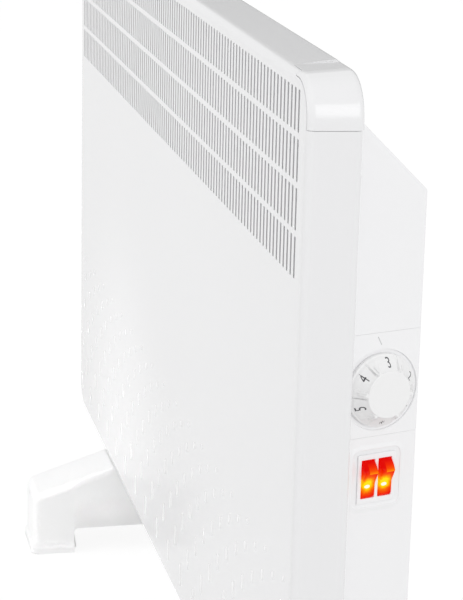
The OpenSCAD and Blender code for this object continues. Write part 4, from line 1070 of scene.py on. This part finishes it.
def build_numerals(s, k):
    """Numbers and the frost star of the scale: flat shapes laid on the flank, x along the arc and y out from
    the axis, so a point goes to angle x / r0 and radius r0 + y, and h is the flank's height there plus 0.05
    mm. The figures are read from the outside with their feet towards the axis."""
    verts, faces, n = [], [], 0
    r0, film = 18.2, 0.05
    for label, deg in zip("321*54", MARKS):
        points, shape = star_shape() if label == "*" else figure_shape(label)
        r = r0 + points[:, 1]
        deg_at = deg + np.degrees(points[:, 0] / r0)
        h = knob_height(k, r, deg_at) + film
        a = np.radians(deg_at)
        verts.append(on_end(s, h, k.y + r * np.sin(a), k.knob_z + r * np.cos(a)))
        faces.extend([[v + n for v in f] for f in shape])
        n += len(points)
    mesh = bpy.data.meshes.new("dial_print")
    mesh.from_pydata((np.concatenate(verts) / 1e3).tolist(), [], faces)
    bm = bmesh.new()
    bm.from_mesh(mesh)
    out = Vector(tuple(on_end(s, 1.0, k.y, k.knob_z) - on_end(s, 0.0, k.y, k.knob_z)))
    bmesh.ops.reverse_faces(bm, faces=[f for f in bm.faces if f.normal.dot(out) < 0])
    bm.to_mesh(mesh)
    bm.free()
    mesh.materials.append(finish("ink"))
    obj = bpy.data.objects.new("dial_print", mesh)
    bpy.context.scene.collection.objects.link(obj)
    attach(obj, "knob")


# Switch


def carried_rect(w, h, r, section, steps=7):
    """A section (u out, height) carried round a rounded rectangle: corner centre + (r + u)(cos a, sin a)."""
    a = np.concatenate([np.linspace(q, q + 90, steps) for q in (0, 90, 180, 270)])
    sx = np.repeat([1, -1, -1, 1], steps)
    sz = np.repeat([1, 1, -1, -1], steps)
    sec = np.asarray(section, float)
    reach = np.maximum(r + sec[:, 0], 0)
    c, q = np.cos(np.radians(a)), np.sin(np.radians(a))
    over = np.minimum(r + sec[:, 0], 0)
    across = sx[:, None] * (w / 2 - r + over) + reach * c[:, None]
    up = sz[:, None] * (h / 2 - r + over) + reach * q[:, None]
    return across, up, np.broadcast_to(sec[:, 1], across.shape)


# The switch's bezel in mm: half its width and height, the clearance round it, its height above the end, and
# half the height of its windows
BEZEL_W, BEZEL_H, BEZEL_GAP, BEZEL_UP, WINDOW_H = 12.8, 15.25, 0.22, 1.2, 11.95


def build_switch_frame():
    """The frame round the switch and the bezel with its two windows."""
    s, k = body_mm(), controls_mm()
    inside = tuple(on_end(s, -6.0, k.switch_y, k.switch_z))
    plastic = finish("white_plastic")
    # Frame: it lies a little deeper than a lip that swells up softly out of the panel round it. e is where
    # the section ends beside the bezel, inwards of the frame's own edge.
    frame_h, corner = 36, 4.5
    e = BEZEL_W + BEZEL_GAP - k.frame_w / 2
    lip = [(3.4, -0.03), (2.6, 0.06), (1.7, 0.3), (0.8, 0.56)]
    lip += [(0.35, 0.64), (0.1, 0.62), (0.0, 0.5), (-0.06, 0.22)]
    sunk = [(-0.2, 0.14), (e + 0.1, 0.14), (e, 0.1), (e, 0.0)]
    y, z, x = carried_rect(k.frame_w, frame_h, corner, lip + sunk)
    # The margin above and below the bezel is narrower than beside it
    by_bezel = np.arange(y.shape[1]) > len(lip)
    z = z + np.where(by_bezel, np.sign(z) * (BEZEL_H + BEZEL_GAP - frame_h / 2 - e), 0)
    pts = on_end(s, x, k.switch_y + y, k.switch_z + z)
    quads = grid_quads(*y.shape, loop_rows=True)
    ring = make_piece("switch_surround", [(pts, quads)], "body", plastic, inside)
    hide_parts("switch_frame")

    # Bezel: a plate with two windows for the rockers
    win = k.rocker_w / 2 + 0.3
    ys = lines([-BEZEL_W, BEZEL_W], [c * k.rocker_pitch / 2 + q for c in (-1, 1) for q in (-win, win)])
    zs = lines([-BEZEL_H, BEZEL_H, -WINDOW_H, WINDOW_H])
    gy, gz = np.meshgrid(ys, zs, indexing="ij")
    my, mz = (ys[1:] + ys[:-1]) / 2, (zs[1:] + zs[:-1]) / 2
    hole = (np.abs(np.abs(my) - k.rocker_pitch / 2) < win)[:, None] & (np.abs(mz) < WINDOW_H)
    plate = on_end(s, BEZEL_UP, k.switch_y + gy, k.switch_z + gz)
    parts = [(plate, grid_quads(*gy.shape, ~hole))]
    bezel = make_piece("rocker_bezel", parts, "body", plastic, inside)
    thicken(bezel, BEZEL_UP)
    soften(bezel, 0.45, 3, 40)
    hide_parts("switch_bezel")


def build_rockers():
    """The rocker's side outline, x up and y out about its pivot: an arc of the rocker's radius, a ridge, a
    hollow face, the other ridge and arc. It is carried across the width and drawn in by edge (1 - sin t) at
    its sides."""
    s, k = body_mm(), controls_mm()
    # In mm: the rocker's radius, half the distance between its ridges, the pivot's depth, how hollow the face
    # is, where the underside is closed, and the rounding of the sides. tip is the rockers' angle at rest.
    big, ridge, pivot, hollow, base, edge = k.rocker_r, 8.2, 6.3, 1.5, -2.6, 0.55
    tip = math.radians(15)
    face = math.sqrt(big * big - ridge * ridge)
    arc = np.linspace(math.radians(84), math.asin(ridge / big) + math.radians(4), 8)
    left = np.stack([big * np.sin(arc), big * np.cos(arc)], 1)
    right = left * [-1, 1]
    corners = [left[-1], (ridge, face), (0, face - hollow), (-ridge, face), right[-1]]
    flat, _ = rounded_path(corners, [0, 0.7, 4.0, 0.7, 0], 5)
    outline = np.concatenate([left[:-1], flat, right[::-1][1:], [[-4, base], [4, base]]])
    c, q = math.cos(tip), math.sin(tip)
    outline = outline @ np.array([[c, q], [-q, c]])
    t = np.linspace(0, math.pi / 2, 5)
    fall, turned = edge * (1 - np.sin(t)), edge * (1 - np.cos(t))
    # Two more steps towards the middle close each side
    inset = np.concatenate([[7.0, 3.0], fall, fall[::-1], [3.0, 7.0]])
    half = k.rocker_w / 2
    across = np.concatenate([[-half, -half], -half + turned, (half - turned)[::-1], [half, half]])
    to_mid = np.array([0.0, 4.0]) - outline
    dist = np.linalg.norm(to_mid, axis=1, keepdims=True)
    drawn_in = np.minimum(inset[None, :, None], dist[:, None] * 0.98)
    pts2 = outline[:, None] + (to_mid / dist)[:, None] * drawn_in
    for side, name in ((-1, "rocker_front"), (1, "rocker_rear")):
        middle = k.switch_y + side * k.rocker_pitch / 2
        x = -pivot + pts2[..., 1]
        pts = on_end(s, x, middle + np.broadcast_to(across, x.shape), k.switch_z + pts2[..., 0])
        piece = make_piece(
            name.replace("rocker", "lit_rocker"), [(pts, grid_quads(*x.shape, loop_rows=True))],
            "front_rocker" if side < 0 else "rear_rocker", finish("lit_lens"),
            tuple(on_end(s, -pivot + 4.0, middle, k.switch_z)),
        )
        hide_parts(name)


# Feet


def build_feet():
    """A foot is a row of sections along Y. The section at y is an arch of half width hw(y) and top zt(y):
    straight sides, a quarter round of the edge radius and a flat top. Towards each toe zt and hw follow
    quarter circles, so the end is rounded, and below flare_z the plinth spreads by flare_w."""
    s = body_mm()
    g = bpy.context.scene.heater_feet
    half, long, spacing = g.width * 500, g.length * 500, g.spacing * 500
    arch, er, leg = g.arch * 1e3, g.edge * 1e3, g.leg * 1e3
    toe = long - 2.0
    inner = long - leg
    top = s.floor - s.run - SEAM
    toe_top = s.floor - 24.0
    # In mm: the toe's rounding in the side view and in plan, the rounding at the arch's ends, the underside's
    # height above the ground, the soles' top, the plinth's top and spread, and the wall
    tip, plan, bow, under, sole_top, flare_z, flare_w, wall = 8.0, 6.0, 4.0, 0.8, 9.0, 7.4, 2.5, 2.6
    # Top line: level under the casing, up along the panel's flared wall, down to the toe, and round the tip
    line, _ = rounded_path([(0, top), (-s.lip_y, top), (-s.front_y, s.floor - 0.9), (toe, toe_top), (toe, 0)],
                           [0, 0.5, 0.8, tip, 0], 12)
    down = np.argmax(line[:, 0] >= toe - 1e-6)
    line = line[: down + 1]
    ys = np.interp(np.linspace(0, 1, 70), np.linspace(0, 1, len(line)), line[:, 0])
    at_arch = inner - np.array([0, 0.05, 0.3, 1.2, 2.4, 3.2, 4])
    ys = lines(line[:, 0], ys, at_arch, toe - plan * (1 - np.sin(np.linspace(0, math.pi / 2, 9))))
    ys = ys[(ys >= 0) & (ys <= toe)]
    zt = np.interp(ys, line[:, 0], line[:, 1])
    hw = half - plan + np.sqrt(np.maximum(0, plan**2 - np.maximum(0, ys - (toe - plan)) ** 2))
    arc = np.sqrt(np.maximum(0, bow * bow - np.maximum(0, ys - (inner - bow)) ** 2))
    zb = np.where(ys >= inner - 1e-6, under, arch - bow + arc)
    t = np.linspace(0, math.pi / 2, 8)
    wall_top = zt - er
    rows = []
    # Wall levels: none lies below the arch, so there they run together on its edge
    for level in (under, 2.5, 4.6, 5.4, 6.0, 6.6, flare_z, 12.0, 17.0):
        rows.append(np.stack([hw, np.maximum(zb, level)], -1))
    rows.append(np.stack([hw, wall_top], -1))
    for a in t[1:]:
        rows.append(np.stack([hw - er + er * math.cos(a), zt - er + er * math.sin(a)], -1))
    rows.append(np.stack([hw * 0.3, zt], -1))
    right = np.stack(rows, 1)
    cross = np.concatenate([right, right[:, ::-1] * [-1, 1]], 1)
    y = np.broadcast_to(ys[:, None], cross.shape[:2])

    def spread(x, y, z, leg_only):
        """The point moved outwards into the plinth, over 1.6 mm of height, and forward near the toe."""
        f = np.clip((flare_z - z) / 1.6, 0, 1)
        f = f * f * (3 - 2 * f) * leg_only
        near = np.clip((y - (toe - 14)) / 14, 0, 1)
        return x * (1 + flare_w * f / half), y + 2.0 * f * near, z

    n_st, n_c = y.shape
    for x0, name in ((-spacing, "foot_left"), (spacing, "foot_right")):
        parts = []
        for sign in (-1, 1):
            x, yy, z = spread(cross[..., 0], y, cross[..., 1], (y >= inner - 1e-6))
            pts = np.stack([x0 + x, sign * yy, z], -1)
            q = grid_quads(n_st, n_c)
            parts.append((pts, q if sign > 0 else q[:, ::-1]))
            # Toe wall: between the two halves of the last section
            last = cross[-1, : n_c // 2]
            fill_x = last[:, None, 0] * np.linspace(1, -1, 7)
            fill_z = np.broadcast_to(last[:, None, 1], fill_x.shape)
            fx, fy, fz = spread(fill_x, np.full_like(fill_x, toe), fill_z, np.ones_like(fill_x))
            pts = np.stack([x0 + fx, sign * fy, fz], -1)
            q = grid_quads(*fill_x.shape)
            parts.append((pts, q if sign < 0 else q[:, ::-1]))
        foot = make_piece(
            "moulded_" + name, parts, "body", finish("foot_plastic"), (x0, 0, 0), 1e-5
        )
        thicken(foot, wall, False)
        soften(foot, 0.4, 2, 50)
        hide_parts(name)
        # Soles: a closed pad of plastic that fills the bottom of each leg
        soles = []
        for sign in (-1, 1):
            yl = np.array([inner + 0.1, inner + 6, toe - 6, toe - 2.0])
            wl = np.array([half - 1.6, half - 1.6, half - 1.6, half - 4.5])
            walk = ((-1, under), (-1, sole_top), (1, sole_top), (1, under), (-1, under))
            grid = np.stack([np.stack([x0 + w * wl, sign * yl, np.full(4, z)], -1) for w, z in walk], 1)
            soles.append((grid, grid_quads(4, 5)))
            soles.extend((grid[end][:4], np.array([[0, 1, 2, 3]])) for end in (0, 3))
        name = name.replace("foot", "soles")
        make_piece(name, soles, "body", finish("foot_plastic"), (x0, 0, 5))


# The stage


def seen_or_mirrored(t):
    """1 for rays from the camera, in reflections and through clear pieces, 0 for those that gather light."""
    ray = add(t, "ShaderNodeLightPath")
    straight = [(ray, "Is Camera Ray", 0), (ray, "Is Transmission Ray", 1)]
    seen = add(t, "ShaderNodeMath", straight, operation="MAXIMUM")
    return add(t, "ShaderNodeMath", [(seen, 0, 0), (ray, "Is Glossy Ray", 1)], operation="MAXIMUM")


def light_room(scene):
    """Surroundings that are white for the camera and in reflections, and dimmer as a source of light."""
    world = bpy.data.worlds.new("studio")
    scene.world = world
    t = cleared_tree(world)
    room = add(t, "ShaderNodeBackground", Color=(1, 1, 1, 1), Strength=0.73)
    white = add(t, "ShaderNodeBackground", Color=(1, 1, 1, 1), Strength=1.0)
    mix = add(t, "ShaderNodeMixShader", [(seen_or_mirrored(t), 0, 0), (room, 0, 1), (white, 0, 2)])
    t.links.new(mix.outputs[0], add(t, "ShaderNodeOutputWorld").inputs[0])


def lay_floor(scene):
    """A disc whose rim lies far outside the view, of pale paper with a glow of its own, so that only a faint
    shadow shows on it."""
    sides, rings = 64, np.array([0.02, 0.5, 1, 2, 4, 8])
    a = np.linspace(0, 2 * math.pi, sides + 1)[:-1, None]
    pts = np.stack([rings * np.cos(a), rings * np.sin(a), np.zeros((sides, len(rings)))], -1)
    quads = grid_quads(sides, len(rings), loop_rows=True).tolist()
    middle = list(range(0, sides * len(rings), len(rings)))[::-1]
    mesh = bpy.data.meshes.new("studio_floor")
    mesh.from_pydata(pts.reshape(-1, 3).tolist(), [], quads + [middle])
    floor = bpy.data.objects.new("studio_floor", mesh)
    scene.collection.objects.link(floor)
    bm = bmesh.new()
    bm.from_mesh(mesh)
    bmesh.ops.reverse_faces(bm, faces=[f for f in bm.faces if f.normal.z < 0])
    bm.to_mesh(mesh)
    bm.free()
    m = bpy.data.materials.new("pale_studio_paper")
    t = cleared_tree(m)
    paper = add(t, "ShaderNodeBsdfDiffuse", Color=(*linear("#E0E0E0"), 1))
    glow = add(t, "ShaderNodeEmission", Color=(1, 1, 1, 1), Strength=1.1)
    glow_share = 0.82
    part = add(t, "ShaderNodeMixShader", [(paper, 0, 1), (glow, 0, 2)])
    part.inputs[0].default_value = glow_share
    mix = add(t, "ShaderNodeMixShader", [(seen_or_mirrored(t), 0, 0), (paper, 0, 1), (part, 0, 2)])
    t.links.new(mix.outputs[0], add(t, "ShaderNodeOutputMaterial").inputs[0])
    mesh.materials.append(m)


def hang_flag(scene):
    """A grey card beyond the heater, seen only in reflections, that draws the fine dark outline of the glossy
    edges and greys the mirror-flat top."""
    gy, gz = np.meshgrid(np.linspace(-0.15, 6.0, 5), np.linspace(0.02, 2.6, 5), indexing="ij")
    pts = np.stack([np.full_like(gy, -3.0), gy, gz], -1).reshape(-1, 3)
    mesh = bpy.data.meshes.new("grey_flag")
    mesh.from_pydata(pts.tolist(), [], grid_quads(5, 5).tolist())
    flag = bpy.data.objects.new("grey_flag", mesh)
    scene.collection.objects.link(flag)
    flag.visible_camera = False
    flag.visible_diffuse = False
    flag.visible_shadow = False
    flag.visible_transmission = False
    m = bpy.data.materials.new("grey_felt")
    t = cleared_tree(m)
    felt = add(t, "ShaderNodeBsdfDiffuse", Color=(*linear("#B6B6B6"), 1))
    t.links.new(felt.outputs[0], add(t, "ShaderNodeOutputMaterial").inputs[0])
    mesh.materials.append(m)


def place_camera(scene):
    """The photograph's camera, by the angles and the place that were fitted to it."""
    cam = bpy.data.cameras.new("camera")
    obj = bpy.data.objects.new("camera", cam)
    scene.collection.objects.link(obj)
    # Angles in radians: round from the front, up from level, and the camera's own lean
    az, el, roll = 1.34372, 0.27596, 0.02368
    back = Vector((math.sin(az) * math.cos(el), -math.cos(az) * math.cos(el), math.sin(el)))
    right = Vector((math.cos(az), math.sin(az), 0))
    up = back.cross(right)
    r = right * math.cos(roll) + up * math.sin(roll)
    u = -right * math.sin(roll) + up * math.cos(roll)
    turn = Matrix((r, u, back)).transposed().to_4x4()
    obj.matrix_world = Matrix.Translation((1.5186, -0.3376, 0.728)) @ turn
    cam.sensor_width = 36
    cam.lens = 128.22
    cam.clip_start, cam.clip_end = 0.05, 50
    scene.camera = obj


def lamp(name, place, aim, size, watts):
    """A soft rectangular lamp at a place, aimed at a point, in metres. Reflections don't show it."""
    data = bpy.data.lights.new(name, "AREA")
    data.shape = "RECTANGLE"
    data.size, data.size_y = size
    data.energy = watts
    obj = bpy.data.objects.new(name, data)
    bpy.context.scene.collection.objects.link(obj)
    obj.location = place
    obj.rotation_euler = (Vector(aim) - Vector(place)).to_track_quat("-Z", "Y").to_euler()
    obj.visible_glossy = False
    return obj


def build_stage():
    """The white room, the pale floor, soft lamps, the grey flag and the camera."""
    scene = bpy.context.scene
    scene.view_settings.view_transform = "Standard"
    light_room(scene)
    lay_floor(scene)
    lamp("front_softbox", (0.2, -1.95, 1.2), (0.0, 0.0, 0.3), (1.2, 1.0), 10)
    # The only lamp that shows in reflections
    lamp("end_softbox", (5.7, 1.6, 2.6), (0.4, 0.0, 0.3), (4.6, 3.2), 106).visible_glossy = True
    # A low lamp with a narrow grid reaches under the body, to the far foot
    fill = lamp("foot_fill", (2.4, -1.0, 0.11), (-0.37, -0.075, 0.045), (0.2, 0.1), 0.027)
    fill.data.spread = math.radians(9)
    # A second one, from the front and above, whitens that foot's upper side and the panel behind it
    top = lamp("foot_top_fill", (-0.2, -0.9, 0.5), (-0.17, -0.06, 0.09), (0.1, 0.1), 0.034)
    top.data.spread = math.radians(26)
    hang_flag(scene)
    place_camera(scene)


def dress_carried_nodes():
    """Every CAD node that stays gets its finish in its own material slots."""
    record = frame["record"]
    slot_of = {q["node"]: q["material_slot"] for q in record["subparts"]}
    for name, obj in frame["nodes"].items():
        material = finish(slot_of[name])
        if not obj.data.materials:
            obj.data.materials.append(material)
        for i in range(len(obj.data.materials)):
            obj.data.materials[i] = material


# Operators and panel


class HEATER_OT_shell(bpy.types.Operator):
    """Build the enamelled front shell with its air slots, and the two corner caps"""

    bl_idname = "heater.shell"
    bl_label = "Front shell and caps"

    def execute(self, context):
        build_shell()
        return {"FINISHED"}


class HEATER_OT_dashes(bpy.types.Operator):
    """Build the dashes pressed into the front"""

    bl_idname = "heater.dashes"
    bl_label = "Pressed dashes"

    def execute(self, context):
        build_dashes()
        return {"FINISHED"}


class HEATER_OT_casing(bpy.types.Operator):
    """Build the folded rear casing"""

    bl_idname = "heater.casing"
    bl_label = "Rear casing"

    def execute(self, context):
        build_casing()
        return {"FINISHED"}


class HEATER_OT_panel(bpy.types.Operator):
    """Build the thermostat panel with its round recess and index mark"""

    bl_idname = "heater.dial_panel"
    bl_label = "Thermostat panel"

    def execute(self, context):
        build_thermostat_panel()
        return {"FINISHED"}


class HEATER_OT_knob(bpy.types.Operator):
    """Build the thermostat knob and its printed scale"""

    bl_idname = "heater.knob"
    bl_label = "Knob"

    def execute(self, context):
        build_knob()
        return {"FINISHED"}


class HEATER_OT_switch(bpy.types.Operator):
    """Build the switch surround, the bezel and the two lit rockers"""

    bl_idname = "heater.switch"
    bl_label = "Switch"

    def execute(self, context):
        build_switch_frame()
        build_rockers()
        return {"FINISHED"}


class HEATER_OT_feet(bpy.types.Operator):
    """Build the two moulded feet"""

    bl_idname = "heater.feet"
    bl_label = "Feet"

    def execute(self, context):
        build_feet()
        return {"FINISHED"}


class HEATER_OT_inner_finish(bpy.types.Operator):
    """Give the inner and small pieces their finishes"""

    bl_idname = "heater.inner_finish"
    bl_label = "Inner and small pieces"

    def execute(self, context):
        dress_carried_nodes()
        return {"FINISHED"}


class HEATER_OT_stage(bpy.types.Operator):
    """Build the floor, the light and the camera"""

    bl_idname = "heater.stage"
    bl_label = "Stage"

    def execute(self, context):
        build_stage()
        return {"FINISHED"}


OPERATORS = (
    HEATER_OT_stage,
    HEATER_OT_inner_finish,
    HEATER_OT_shell,
    HEATER_OT_dashes,
    HEATER_OT_casing,
    HEATER_OT_panel,
    HEATER_OT_knob,
    HEATER_OT_switch,
    HEATER_OT_feet,
)
GROUPS = {
    "heater_body": HeaterBodySizes,
    "heater_slots": HeaterSlotSizes,
    "heater_controls": HeaterControlSizes,
    "heater_feet": HeaterFootSizes,
    "heater_colours": HeaterColours,
}


class HEATER_PT_panel(bpy.types.Panel):
    """Sizes, colours and the pieces in the order in which they are built"""

    bl_label = "Heater"
    bl_idname = "HEATER_PT_panel"
    bl_space_type = "VIEW_3D"
    bl_region_type = "UI"
    bl_category = "Heater"

    def draw(self, context):
        for name, group in GROUPS.items():
            box = self.layout.box()
            box.label(text=name.replace("_", " ").capitalize())
            for prop in group.__annotations__:
                box.prop(getattr(context.scene, name), prop)
        for op in OPERATORS:
            self.layout.operator(op.bl_idname)


def register():
    """Tell Blender of the property groups, the operators and the panel."""
    for cls in (*GROUPS.values(), *OPERATORS, HEATER_PT_panel):
        bpy.utils.register_class(cls)
    for name, group in GROUPS.items():
        setattr(bpy.types.Scene, name, PointerProperty(type=group))


def unregister():
    """Take them away again, in the reverse order."""
    for name in GROUPS:
        delattr(bpy.types.Scene, name)
    for cls in reversed((*GROUPS.values(), *OPERATORS, HEATER_PT_panel)):
        bpy.utils.unregister_class(cls)


def main():
    register()
    bpy.ops.heater.stage()
    bpy.ops.heater.inner_finish()
    bpy.ops.heater.shell()
    bpy.ops.heater.dashes()
    bpy.ops.heater.casing()
    bpy.ops.heater.dial_panel()
    bpy.ops.heater.knob()
    bpy.ops.heater.switch()
    bpy.ops.heater.feet()


if __name__ == "__main__":
    main()
